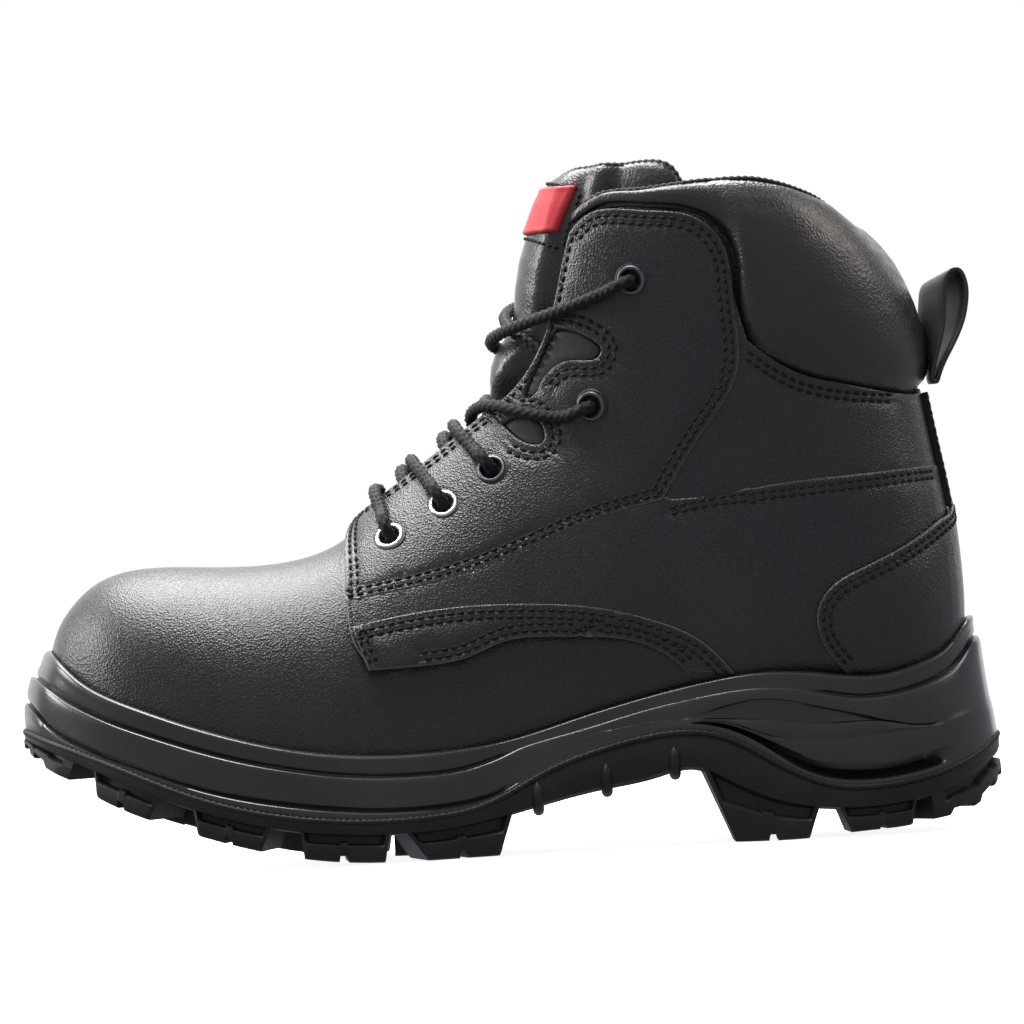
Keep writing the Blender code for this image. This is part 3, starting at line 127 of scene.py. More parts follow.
# The gaps between cleats: where each starts and ends at the tread's roof, and at the running face.
TREAD_GAPS = (
    (-135.6, -129.6, -138.4, -129.0), (-109.0, -99.0, -112.8, -97.7), (-75.0, -66.2, -78.4, -65.1),
    (-38.4, -33.7, -40.3, -27.0), (-0.4, 58.5, -5.1, 67.3), (93.7, 99.5, 90.0, 103.1),
    (124.0, 128.6, 122.2, 129.6),
)
WAIST_RIBS = (7.2, 28.6, 49.8)
# Lines of the midsole's wall, from the parting line up: the low groove at the front, which is the lower edge
# of the recess at the heel; the recess's upper edge; two creases; the leaf's top; the groove under the rim.
LOW_LINE = (
    (-152, 56.0), (-148.6, 52.8), (-144, 47.6), (-138.5, 43.0), (-131.5, 39.3), (-124.8, 36.1), (-118, 33.4),
    (-97.9, 25.7), (-72.4, 19.4), (-55, 16.8), (-46.7, 15.9), (-20.8, 15.8), (-5.3, 18.9), (6, 24.4),
    (20, 30.0), (39, 35.2), (54.5, 36.9), (65.9, 35.0), (76.6, 29.6), (85, 23.6), (94.4, 18.9), (105.3, 16.9),
    (120, 17.6), (134.2, 20.8), (145, 25.6), (152, 31.0),
)


def above_low_line(gap):
    """The front part of LOW_LINE, raised, for the lines that run together there."""
    return tuple((x, z + gap) for x, z in LOW_LINE if x < 30)


RECESS_TOP = above_low_line(1.2) + (
    (44, 36.6), (54.5, 37.6), (66, 36.2), (77, 31.6), (85, 27.2), (91, 24.4), (105.6, 22.0), (118, 22.2),
    (126, 24.0), (134, 25.6), (145, 29.4), (152, 34.0),
)
LOW_CREASE = above_low_line(2.4) + (
    (54.5, 38.0), (66, 37.0), (78, 32.6), (90, 30.4), (101, 30.2), (113, 31.2), (126.7, 32.0), (140, 33.0),
    (152, 37.0),
)
HIGH_CREASE = above_low_line(3.6) + (
    (54.5, 38.4), (66, 37.9), (84, 36.4), (101, 34.9), (113, 34.9), (126.7, 32.6), (140, 34.6), (152, 39.0),
)
LEAF_TOP = above_low_line(4.8) + (
    (54.5, 38.8), (66.3, 41.9), (80.4, 43.2), (93.4, 40.5), (109.4, 36.4), (129.7, 33.2), (140, 36.2),
    (152, 41.0),
)
HIGH_LINE = (
    (-152, 64.0), (-145.5, 60.6), (-138, 55.0), (-131, 50.9), (-124, 47.5), (-110, 42.0), (-96, 37.1),
    (-82, 33.0), (-68, 29.8), (-54, 27.4), (-41, 26.2), (-28, 26.0), (-15.3, 27.0), (-4.8, 29.9), (3.0, 32.6),
    (20, 36.8), (40, 41.6), (60, 45.2), (80, 46.8), (94.5, 44.8), (105.3, 42.6), (118.1, 43.0), (131.4, 46.6),
    (140.5, 52.8), (145.3, 58.6), (152, 60.5),
)

# The upper, in side view: eyelets, edges and seams.
EYELETS = ((-33.4, 98.1), (-16.4, 107.4), (-0.9, 117.5), (30.7, 136.3), (44.6, 174.2))
THROAT_EDGE = (
    (-47.6, 92.0), (-45.6, 101.0), (-40.0, 106.6), (-30.4, 113.6), (-14.2, 125.2), (-1.1, 135.4),
    (8.7, 144.4), (15.5, 154.9), (20.2, 167.1), (23.8, 181.0), (26.5, 190.0),
)
FLAP_FRONT = ((-42.5, 58.6), (-46.4, 66.4), (-48.2, 80.5), (-47.6, 92.0))
FLAP_LOWER = (
    (-42.5, 58.6), (-27.2, 59.1), (-11.4, 61.3), (-1.9, 65.0), (16.9, 66.0), (35.5, 64.4), (47.7, 59.6),
    (57.0, 50.0), (61.0, 44.0),
)
EYESTAY_REAR = (
    (26.5, 190.0), (31.7, 195.0), (48.9, 195.4), (64.3, 192.6), (72.8, 184.5), (75.4, 167.2), (74.7, 142.3),
    (64.6, 127.3), (54.4, 112.5), (50.6, 106.4),
)
EYESTAY_LOWER = ((50.6, 106.4), (31.4, 101.8), (5.9, 92.2), (-16.3, 85.2), (-48.2, 79.2))
MID_SEAM = ((51.6, 105.2), (56.4, 106.3), (85.9, 109.2), (113.1, 111.0), (126.0, 111.9), (134.5, 112.5))
QUARTER_BACK_Z = 112.8
QUARTER_FOOT = ((130, 9.5), (124, 9.5), (114, 9.5), (104, 8.5), (94, 7.5), (82, 7.0), (70, 6.5))
BAND_UPPER = (
    (-46.8, 71.2), (-23.2, 75.2), (4.9, 76.2), (29.8, 73.8), (46.6, 69.0), (60.3, 62.0), (69.5, 52.0),
)
COLLAR_LOWER = (
    (27.0, 193.0), (33.0, 197.2), (49.5, 197.6), (65.6, 194.6), (75.2, 185.4), (77.6, 168.0), (79.0, 156.0),
    (92.8, 144.4), (108.2, 139.6),
)
COLLAR_BACK_LOWER_Z = 137.4
COLLAR_TOP = (
    (28.4, 197.2), (34.0, 200.6), (46.0, 201.6), (62.0, 202.4), (80.0, 202.4), (96.0, 199.6), (108.0, 194.8),
    (116.0, 188.4), (121.5, 180.5),
)
COLLAR_BACK_TOP_Z = 170.0
HEEL_PATCH_EDGE = (
    (103.6, 51.0), (97.2, 60.0), (96.4, 70.4), (101.8, 77.6), (109.0, 81.4), (120.0, 86.2), (128.0, 90.6),
    (135.0, 95.4),
)
HEEL_PATCH_BACK_Z = 101.0
WINDOWS = (
    ((20.6, 161.0), (25.0, 160.2), (31.8, 156.7), (34.4, 153.3), (33.0, 151.0), (28.5, 150.5), (22.5, 150.3),
     (18.9, 148.2), (15.9, 144.6), (13.2, 140.4), (10.4, 139.6), (10.8, 143.0), (14.0, 149.4), (17.2, 156.2)),
    ((3.2, 131.6), (8.0, 134.2), (13.2, 133.2), (16.0, 129.0), (15.2, 125.4), (12.4, 124.8), (7.0, 127.4)),
)
TONGUE_SIDE = (
    (-45.0, 95.5), (-24.0, 102.0), (-4.0, 110.0), (12.0, 121.0), (23.0, 137.0), (31.0, 156.0), (39.0, 172.0),
    (51.0, 188.0), (60.5, 199.0),
)
TONGUE_TOP = ((20.2, 210.5), (29.0, 212.6), (43.0, 211.4), (54.0, 208.6), (60.5, 199.0))
# Offset of the tongue's outer face along its middle, for each u: low in the throat, full above, pressed in
# by the lace.
TONGUE_MIDDLE = (
    (0.530, -6.6), (0.547, -5.3), (0.562, -2.9), (0.578, -1.7), (0.610, -1.1), (0.640, -1.3), (0.662, -2.2),
    (0.684, -3.9), (0.705, -4.9), (0.722, -5.0), (0.742, -4.0), (0.765, -2.5), (0.800, -1.0), (0.850, -1.0),
    (0.880, -1.2), (0.910, -2.4), (0.940, -5.0),
)
TONGUE_THICKNESS = 5.0
TONGUE_EDGE_TUCK = 1.9
LABEL = ((14.0, 190.9), (19.5, 205.0))
LABEL_HALF = 23.0
LABEL_TALL = 14.6
LABEL_MARGIN = 1.7

EYELET_HOLE = 3.9
# Thicknesses, and the gap under the heel patch.
LEATHER = 2.0
PATCH_LEATHER = 1.5
INLAY_LEATHER = 0.9
TAPE = 2.1
FACING_CLOTH = 0.7
LINING_CLOTH = 1.0
PATCH_GAP = 0.95
FLAP_RISE = 2.0
# Heights of outer faces over the last, where they follow the flap's rise.
EYESTAY_FACE = 0.6
QUARTER_FACE = 0.3
FACING_FACE = -1.3
INLAY_FACE = -0.6
LINING_OUTSIDE = -5.4

# Lace, as in the CAD part: the lowest bar's place towards the next eyelet and its height over the last; the
# same for both strands of each crossing above it; and the places of the tail and the tip.
LACE_RADIUS = 1.8
LACE_BAR = (0.12, 3.1)
LACE_LEVELS = (((0.82, 1.2), (0.5, -0.6)), ((0.85, 0.3), (0.45, -1.0)), ((0.08, -1.4), (0.27, -2.4)),
               ((0.0, -0.4), (0.28, -2.6)))
TAIL = (
    (46.5, 169.0, -6.2), (50.0, 162.0, -7.9), (55.0, 152.0, -9.4), (60.0, 139.0, -10.2), (61.0, 122.0, -10.4),
    (56.0, 104.0, -10.4), (45.0, 88.0, -10.4), (28.0, 76.0, -10.4), (8.0, 68.5, -10.4), (-14.0, 63.0, -10.4),
    (-34.0, 60.0, -10.4),
)
AGLET = ((-35.6, 59.8, -10.4), (-56.0, 57.4, -10.4))
AGLET_RADIUS = 1.5

LOOP_ROOT = (137.2, 137.6)
LOOP_PATH = (
    (-0.9, 0.8), (-0.5, 6.0), (0.2, 13.0), (0.7, 21.0), (1.4, 28.5), (3.2, 32.9), (5.6, 33.4), (7.4, 30.8),
    (8.0, 26.5), (7.0, 20.0), (4.6, 12.0), (2.2, 5.6), (0.9, 0.8),
)
LOOP_TURN = math.radians(19.0)
LOOP_LEAN = math.radians(9.0)
LOOP_HALF_WIDTH = 11.0
LOOP_THICKNESS = 1.4

# Stitching: how far rows lie from an edge, and how far and how wide they draw the leather in.
STITCH_PITCH = 3.1
STITCH_LENGTH = 2.5
STITCH_SINK = 0.3
THREAD_RADIUS = 0.5
ROW_INSETS = (1.9, 4.0)
SEAM_PINCH = 0.5
SEAM_REACH = 0.75


# ---------------------------------------------------------------- curves

class Spline:
    """Natural cubic curve through the rows of a table, by its first column."""

    def __init__(self, knots, values):
        x = np.asarray(knots, float)
        y = np.asarray(values, float).reshape(len(x), -1)
        h = np.diff(x)
        system = np.eye(len(x))
        right = np.zeros_like(y)
        for i in range(1, len(x) - 1):
            system[i, i - 1:i + 2] = h[i - 1], 2 * (h[i - 1] + h[i]), h[i]
            right[i] = 6 * ((y[i + 1] - y[i]) / h[i] - (y[i] - y[i - 1]) / h[i - 1])
        self.x, self.y, self.bend = x, y, np.linalg.solve(system, right)

    def __call__(self, at):
        at = np.asarray(at, float)
        i = np.clip(np.searchsorted(self.x, at) - 1, 0, len(self.x) - 2)
        h = (self.x[i + 1] - self.x[i])[..., None]
        p = (self.x[i + 1] - at)[..., None] / h
        q = 1 - p
        curved = ((p ** 3 - p) * self.bend[i] + (q ** 3 - q) * self.bend[i + 1]) * h * h / 6
        return p * self.y[i] + q * self.y[i + 1] + curved


def table(rows):
    """A curve of one value from (x, value) rows."""
    rows = np.asarray(rows, float)
    curve = Spline(rows[:, 0], rows[:, 1])
    return lambda at: curve(at)[..., 0]


def runs(points):
    """Length along a line at each of its points."""
    points = np.asarray(points, float)
    return np.concatenate([[0], np.cumsum(np.linalg.norm(np.diff(points, axis=0), axis=1))])


def along_line(line, run, at):
    """Points of a line at some lengths along it, where run is the length at each of its own points."""
    return np.stack([np.interp(at, run, line[:, k]) for k in range(line.shape[1])], axis=-1)


def smooth(points, count):
    """That many points along a smooth curve through the given ones, evenly spaced."""
    points = np.asarray(points, float)
    along = runs(points)
    fine = Spline(along, points)(np.linspace(0, along[-1], 40 * len(points)))
    run = runs(fine)
    return along_line(fine, run, np.linspace(0, run[-1], count))


def ease(t):
    """Smooth step from 0 to 1."""
    t = np.clip(t, 0, 1)
    return t * t * (3 - 2 * t)


def unit(vectors):
    """Vectors made 1 long."""
    return vectors / np.maximum(np.linalg.norm(vectors, axis=-1, keepdims=True), 1e-12)


def round_closed(line):
    """Directions along a closed line."""
    return unit(np.roll(line, -1, axis=0) - np.roll(line, 1, axis=0))


def outward(outline):
    """Directions out of a closed plan outline."""
    ahead = round_closed(outline)
    return np.stack([ahead[:, 1], -ahead[:, 0]], axis=1)


def halved(is_low, low=0.0, high=1.0):
    """The number between two up to which a test is true."""
    for _ in range(34):
        middle = (low + high) / 2
        if is_low(middle):
            low = middle
        else:
            high = middle
    return middle


midline = table(MIDLINE)
rim_top = table(RIM_TOP)
parting = table(PARTING)
tread_roof = table(TREAD_ROOF)
running = table(RUNNING)


# ---------------------------------------------------------------- last surface

class Last:
    """The surface that the upper follows, and the maps from a side view place to u and a."""

    def __init__(self, rows):
        rows = np.asarray(rows, float)
        steps = np.linalg.norm(np.diff(rows[:, :2], axis=0), axis=1)
        steps += np.linalg.norm(np.diff(rows[:, 2:4], axis=0), axis=1)
        self.knots = np.concatenate([[0], np.cumsum(steps)]) / steps.sum()
        self.curve = Spline(self.knots, rows)
        self.us = np.linspace(0, 1, 121)
        self.vs = np.linspace(0, 1, 61)
        turns = np.linspace(0, math.pi, 361)
        self.turns = np.empty((len(self.us), len(self.vs)))
        self.arcs = np.empty(len(self.us))
        for i, u in enumerate(self.us):
            run = runs(self.at_turn(np.full(turns.shape, u), turns))
            self.turns[i] = np.interp(self.vs * run[-1], run, turns)
            self.arcs[i] = run[-1]

    def at_turn(self, u, turn):
        """Point of section u where its own angle is turn, before the midline's bend."""
        fx, fz, bx, bz, half, widest, front, back = np.moveaxis(self.curve(u), -1, 0)
        before = turn <= math.pi / 2
        power = 2 / np.where(before, front, back)
        reach = np.abs(np.cos(turn)) ** power
        t = np.where(before, widest * (1 - reach), widest + (1 - widest) * reach)
        y = half * np.abs(np.sin(turn)) ** power
        return np.stack([fx + t * (bx - fx), y, fz + t * (bz - fz)], axis=-1)

    def turn_of(self, u, v):
        """The section's own angle at a share v of its length, from the table made at the start."""
        i = np.clip(np.searchsorted(self.us, u) - 1, 0, len(self.us) - 2)
        j = np.clip(np.searchsorted(self.vs, v) - 1, 0, len(self.vs) - 2)
        p = (u - self.us[i]) / (self.us[1] - self.us[0])
        q = (v - self.vs[j]) / (self.vs[1] - self.vs[0])
        low = self.turns[i, j] * (1 - q) + self.turns[i, j + 1] * q
        high = self.turns[i + 1, j] * (1 - q) + self.turns[i + 1, j + 1] * q
        return low * (1 - p) + high * p

    def on(self, u, a):
        """Points of the surface at u and a, in millimetres."""
        u, a = np.broadcast_arrays(np.asarray(u, float), np.asarray(a, float))
        a = np.mod(a, 2)
        lateral = a <= 1
        v = np.where(lateral, a, 2 - a)
        points = self.at_turn(u, self.turn_of(u, v))
        points[..., 1] *= np.where(lateral, -1, 1)
        points[..., 1] += midline(points[..., 0])
        return points

    def steps(self, u, a):
        """How the surface point moves with u and with a."""
        du, da = 2e-3, 4e-3
        u = np.clip(u, 3 * du, 1 - 3 * du)
        along = (self.on(u + du, a) - self.on(u - du, a)) / (2 * du)
        around = (self.on(u, a + da) - self.on(u, a - da)) / (2 * da)
        return along, around

    def normal(self, u, a):
        """Unit normals that point out of the boot."""
        along, around = self.steps(u, a)
        return unit(np.cross(around, along))

    def off(self, u, a, distance):
        """Points at that distance outside the surface."""
        distance = np.asarray(distance, float)
        return self.on(u, a) + self.normal(u, a) * distance[..., None]

    def uv(self, x, z):
        """u and v of the point that a side view shows at x, z."""
        def is_before(u):
            fx, fz, bx, bz = self.curve(u)[:4]
            return (x - fx) * (bz - fz) - (z - fz) * (bx - fx) < 0

        u = halved(is_before)
        fx, fz, bx, bz, _, widest, front, back = self.curve(u)
        t = ((x - fx) * (bx - fx) + (z - fz) * (bz - fz)) / ((bx - fx) ** 2 + (bz - fz) ** 2)
        t = min(max(t, 0.0), 1.0)
        if t <= widest:
            turn = math.acos((1 - t / widest) ** (front / 2))
        else:
            turn = math.pi - math.acos(((t - widest) / (1 - widest)) ** (back / 2))
        row = self.turn_of(np.full(len(self.vs), u), self.vs)
        return u, float(np.interp(turn, row, self.vs))

    def trace(self, points, side=LATERAL):
        """(u, a) of side view points, on one side of the boot."""
        found = np.array([self.uv(x, z) for x, z in points])
        found[:, 1] *= side
        return found

    def back_u(self, z):
        """u of the back seam at a height, above the heel's corner."""
        return halved(lambda u: self.curve(u)[3] < z, self.knots[HEEL_SECTION])


last = Last(SECTIONS)
throat = last.trace(smooth(THROAT_EDGE, 25))


def throat_v(u):
    """Where the throat's edge lies on section u."""
    return np.interp(u, throat[:, 0], throat[:, 1])


def span(u):
    """Length of half a section, from the front to the back."""
    return np.interp(u, last.us, last.arcs)


def flap_rise(x, z):
    """How far the front of the quarter stands above the last, where it lies on the vamp."""
    return FLAP_RISE * ease((52 - x) / 30) * ease((165 - z) / 40)


def raised(u, a):
    """The same, by u and a."""
    points = last.on(u, a)
    return flap_rise(points[..., 0], points[..., 2])


def over_last(height):
    """A height over the last that follows the flap's rise, as panels and stitches take it."""
    return lambda u, a: raised(u, a) + height


def sole_bottom(x):
    """Height of the last's underside."""
    under = np.array(SECTIONS[:HEEL_SECTION + 1])
    return np.interp(x, under[:, 2], under[:, 3])


def shift(line, distance):
    """A line of u and a moved over the surface by that many millimetres, to its right going ahead."""
    line = np.asarray(line, float)
    along, around = last.steps(line[:, 0], line[:, 1])
    at = last.on(line[:, 0], line[:, 1])
    is_closed = np.linalg.norm(at[0] - at[-1]) < 4
    ahead = round_closed(at) if is_closed else unit(np.gradient(at, axis=0))
    aside = np.cross(ahead, unit(np.cross(around, along))) * distance
    aa, bb, ab = ((along ** 2).sum(1), (around ** 2).sum(1), (along * around).sum(1))
    pa, pb = (along * aside).sum(1), (around * aside).sum(1)
    det = aa * bb - ab * ab
    return line + np.stack([(bb * pa - ab * pb) / det, (aa * pb - ab * pa) / det], axis=1)


def respaced(line, step):
    """A line of u and a with its points about that many millimetres apart on the surface."""
    fine = smooth(np.asarray(line) * FLAT, max(24, 6 * len(line))) / FLAT
    run = runs(last.on(fine[:, 0], fine[:, 1]))
    return along_line(fine, run, np.linspace(0, run[-1], max(3, round(run[-1] / step) + 1)))


# ---------------------------------------------------------------- meshes

def piece(name, shape, finish, stands_for=(), body="boot", edge=None, sharp=50):
    """A piece of the boot from points and faces. `edge` is how near each point is to a raw edge, 0 to 1; the
    leather paints it paler, as raw edge colour and a painted edge highlight.
    """
    points, faces = shape
    mesh = bpy.data.meshes.new(name)
    mesh.from_pydata((np.asarray(points, float) * MM).tolist(), [], faces)
    work = bmesh.new()
    work.from_mesh(mesh)
    bmesh.ops.recalc_face_normals(work, faces=work.faces)
    work.to_mesh(mesh)
    work.free()
    if edge is not None:
        values = mesh.attributes.new("edge", "FLOAT", "POINT").data
        values.foreach_set("value", np.asarray(edge, np.float32))
    mesh.shade_smooth()
    mesh.set_sharp_from_angle(angle=math.radians(sharp))
    mesh.materials.append(FINISH[finish])
    made = bpy.data.objects.new(name, mesh)
    bpy.context.scene.collection.objects.link(made)
    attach(made, body)
    if stands_for:
        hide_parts(*stands_for)
    return made


def distances(points, targets):
    """Distance from each point to the nearest of the targets."""
    if not len(targets):
        return np.full(len(points), 1e3)
    tree = kdtree.KDTree(len(targets))
    for i, target in enumerate(targets):
        tree.insert(target, i)
    tree.balance()
    return np.array([tree.find(point)[2] for point in points])


def inside(polygon, points):
    """Which points lie in a closed polygon, in two dimensions."""
    x, y = points[:, 0], points[:, 1]
    found = np.zeros(len(points), bool)
    for (ax, ay), (bx, by) in zip(polygon, np.roll(polygon, -1, axis=0)):
        spans = (ay > y) != (by > y)
        cross = ax + (y - ay) * (bx - ax) / np.where(by == ay, 1e-12, by - ay)
        found ^= spans & (x < cross)
    return found


def within(loops, points):
    """Which points lie inside the first loop and outside the others, which are its holes."""
    kept = inside(loops[0], points)
    for hole in loops[1:]:
        kept &= ~inside(hole, points)
    return kept


def dense(outline, step):
    """A closed outline in u and a with its long edges split."""
    found = []
    for a, b in zip(outline, np.roll(outline, -1, axis=0)):
        parts = max(1, math.ceil(np.linalg.norm((b - a) * FLAT) / step))
        found += [a + (b - a) * k / parts for k in range(parts)]
    return np.array(found)


def fine_surface(line, closed=False):
    """Surface points every 0.3 mm or so along a line of u and a."""
    line = np.asarray(line, float)
    if closed:
        line = np.concatenate([line, line[:1]])
    u, a = along_line(line, np.arange(len(line)), np.linspace(0, len(line) - 1, 8 * len(line))).T
    return last.on(u, a)


def edge_rings(loops, insets):
    """Points just inside the edges of a panel, so that they can be rounded."""
    found = []
    for number, loop in enumerate(loops):
        for inset in [sign * distance for distance in insets for sign in (1, -1)]:
            ring = shift(loop, inset)
            kept = within(loops, ring)
            if kept.mean() > 0.5 or number == 0:
                ring = ring[kept]
                apart = distances(last.on(ring[:, 0], ring[:, 1]), fine_surface(loop, True))
                found.append(ring[apart > abs(inset) * 0.8])
    return found


def laid_flat(points):
    """Points of u and a as points of a plane, in millimetres."""
    return np.column_stack([points * FLAT, np.zeros(len(points))])


def filled(loops, placed, step):
    """Points of u and a, and triangles, that fill a panel: the placed points and a grid between them."""
    low, high = loops[0].min(0), loops[0].max(0)
    across = np.arange(low[0], high[0], step / FLAT[0])
    along = np.arange(low[1], high[1], step / FLAT[1])
    grid = np.stack(np.meshgrid(across, along), axis=-1).reshape(-1, 2)
    grid = grid[within(loops, grid)]
    grid = grid[distances(laid_flat(grid), laid_flat(placed)) > step * 0.5]
    edges, start = [], 0
    for loop in loops:
        size = len(loop)
        edges += [(start + i, start + (i + 1) % size) for i in range(size)]
        start += size
    points = np.concatenate([placed, grid]) * FLAT
    made = delaunay_2d_cdt([Vector(p) for p in points], edges, [], 0, 1e-4)
    flat, faces = np.array([tuple(p) for p in made[0]]), made[2]
    middles = np.array([flat[list(face)].mean(0) for face in faces]) / FLAT
    faces = [face for face, kept in zip(faces, within(loops, middles)) if kept]
    used = sorted({i for face in faces for i in face})
    renumber = {old: new for new, old in enumerate(used)}
    return flat[used] / FLAT, [tuple(renumber[i] for i in face) for face in faces]


def panel(name, outline, outside, thickness, finish, stands_for, holes=(), rows=(), step=3.2,
          rounding=0.45, relief=None):
    """A panel laid on the last, with rounded edges, and drawn in along its rows of stitching.

    `outside` is the height of its outer face: a number, or a function of u and a. `relief` adds to it.
    """
    loops = [dense(np.asarray(loop, float), OUTLINE_STEP) for loop in (outline, *holes)]
    placed = loops + edge_rings(loops, (0.3 * rounding, rounding) if rounding else ())
    for line in [shift(row, aside) for row in rows for aside in (-SEAM_SIDE, 0.0, SEAM_SIDE)]:
        placed.append(line[within(loops, line)])
    points, faces = filled(loops, np.concatenate(placed), step)
    u, a = points.T
    surface = last.on(u, a)
    top = outside(u, a) if callable(outside) else np.full(len(u), float(outside))
    to_edge = distances(surface, np.concatenate([fine_surface(loop, True) for loop in loops]))
    drop = np.zeros(len(u))
    if rounding:
        into = np.clip(1 - to_edge / rounding, 0, 1)
        drop = rounding * (1 - np.sqrt(1 - into ** 2))
    if len(rows):
        to_row = distances(surface, np.concatenate([fine_surface(row) for row in rows]))
        drop = drop + SEAM_PINCH * np.exp(-(to_row / SEAM_REACH) ** 2)
    if relief is not None:
        drop = drop - relief(surface)
    normals = last.normal(u, a)
    outer = surface + normals * (top - drop)[:, None]
    inner = surface + normals * (top - thickness)[:, None]
    size = len(u)
    sides = dict.fromkeys(side for face in faces for side in zip(face, face[1:] + face[:1]))
    shell = [face[::-1] for face in faces] + [tuple(i + size for i in face) for face in faces]
    shell += [(two + size, one + size, one, two) for one, two in sides if (two, one) not in sides]
    # The pale band at the edges: raw edge colour and a painted edge highlight.
    edge = np.concatenate([np.clip(1 - to_edge / RAW_EDGE_AND_HIGHLIGHT, 0, 1), to_edge < 0.3])
    return piece(name, (np.concatenate([outer, inner]), shell), finish, stands_for, edge=edge)


def stitches(name, rows, body="boot", pitch=STITCH_PITCH, length=STITCH_LENGTH):
    """Sewn rows: a short bow of thread at every stitch, along lines of surface points with their normals."""
    turn = np.arange(6) * 2 * math.pi / 6
    share = np.linspace(-0.5, 0.5, 5)
    bow = 0.5 * THREAD_RADIUS - 1.5 * THREAD_RADIUS * (2 * share) ** 4
    thick = THREAD_RADIUS * (1 - 0.35 * (2 * share) ** 4)[None, :, None, None]
    stitched = []
    for line, normals in rows:
        run = runs(line)
        count = int(run[-1] // pitch)
        first = (run[-1] - count * pitch) / 2 + pitch / 2
        at = first + pitch * np.arange(count)[:, None] + length * share[None, :]
        centre = along_line(line, run, at)
        up = unit(along_line(normals, run, at))
        ahead = unit(centre[:, -1:] - centre[:, :1])
        side = unit(np.cross(ahead, up))
        centre = centre + up * bow[None, :, None]
        across = side[:, :, None] * np.cos(turn)[:, None]
        ring = (across + up[:, :, None] * np.sin(turn)[:, None] * 0.8) * thick
        stitched += [loft(rings) for rings in centre[:, :, None] + ring]
    return piece(name, joined(stitched), "thread", body=body, sharp=180)


def sewn(line, lift):
    """A stitched row on the last for stitches(): surface points and normals."""
    fine = respaced(line, 0.8)
    u, a = fine.T
    height = lift(u, a) if callable(lift) else np.full(len(u), float(lift))
    return last.off(u, a, height), last.normal(u, a)


def loft(rings, closed=False, capped=True):
    """Points and faces of a solid through closed rings of points."""
    rings = np.asarray(rings, float)
    count, size = rings.shape[:2]
    faces = []
    for i in range(count if closed else count - 1):
        n = (i + 1) % count
        for j in range(size):
            k = (j + 1) % size
            faces.append((i * size + j, i * size + k, n * size + k, n * size + j))
    if capped and not closed:
        faces.append(tuple(range(size)))
        faces.append(tuple(range((count - 1) * size, count * size)))
    return rings.reshape(-1, 3), faces


def joined(parts):
    """Several sets of points and faces as one."""
    points, faces, start = [], [], 0
    for some, their_faces in parts:
        points.append(some)
        faces += [tuple(i + start for i in face) for face in their_faces]
        start += len(some)
    return np.concatenate(points), faces


def slab(outer, inner):
    """Points and faces of a solid between two matching grids."""
    rows, columns = outer.shape[:2]
    size = rows * columns
    grid = np.arange(size).reshape(rows, columns)
    border = np.concatenate([grid[:, 0], grid[-1, 1:], grid[-2::-1, -1], grid[0, -2:0:-1]]).tolist()
    faces = []
    for i in range(rows - 1):
        for at in range(i * columns, i * columns + columns - 1):
            quad = (at, at + 1, at + columns + 1, at + columns)
            faces += [quad, tuple(size + k for k in reversed(quad))]
    faces += [(two, one, size + one, size + two) for one, two in zip(border, border[1:] + border[:1])]
    return np.concatenate([outer.reshape(-1, 3), inner.reshape(-1, 3)]), faces


def frames(line):
    """Two directions across a line, which turn as little as they can."""
    line = np.asarray(line, float)
    ahead = unit(np.gradient(line, axis=0))
    across = np.empty_like(line)
    start = np.cross(ahead[0], (0.0, 0.0, 1.0))
    if np.linalg.norm(start) < 0.2:
        start = np.cross(ahead[0], (0.0, 1.0, 0.0))
    across[0] = unit(start)
    for i in range(1, len(line)):
        across[i] = unit(across[i - 1] - ahead[i] * (across[i - 1] @ ahead[i]))
    return across, np.cross(ahead, across)


def tube(line, radius, around=12, pattern=None):
    """Points and faces of a round tube with a surface pattern of angle and length."""
    across, third = frames(line)
    turn = np.arange(around) * 2 * math.pi / around
    size = np.broadcast_to(np.asarray(radius, float), (len(line),))[:, None] + np.zeros((1, around))
    if pattern is not None:
        size = size + pattern(turn[None, :], runs(line)[:, None])
    return loft(line[:, None] + across[:, None] * (np.cos(turn)[None, :] * size)[..., None]
                + third[:, None] * (np.sin(turn)[None, :] * size)[..., None])


def bound(line, radius, depth):
    """Points and faces of a binding: a thin tube with a wave for each of its stitches."""
    return tube(line, radius, 8, lambda turn, run: depth * np.sin(2 * math.pi * run / 2.2))


def turned(profile, steps, matrix):
    """Points and faces of a closed profile of radius and height turned about a matrix's Z."""
    rings = []
    for k in range(steps):
        angle = 2 * math.pi * k / steps
        rings.append([matrix @ Vector((r * math.cos(angle), r * math.sin(angle), z)) for r, z in profile])
    return loft(rings, closed=True)


def stand(u, a, height):
    """Matrix that stands something on the last, with its Z along the normal."""
    turn = Vector(last.normal(u, a)).to_track_quat("Z", "Y").to_matrix().to_4x4()
    return Matrix.Translation(Vector(last.off(u, a, height))) @ turn


# ---------------------------------------------------------------- materials

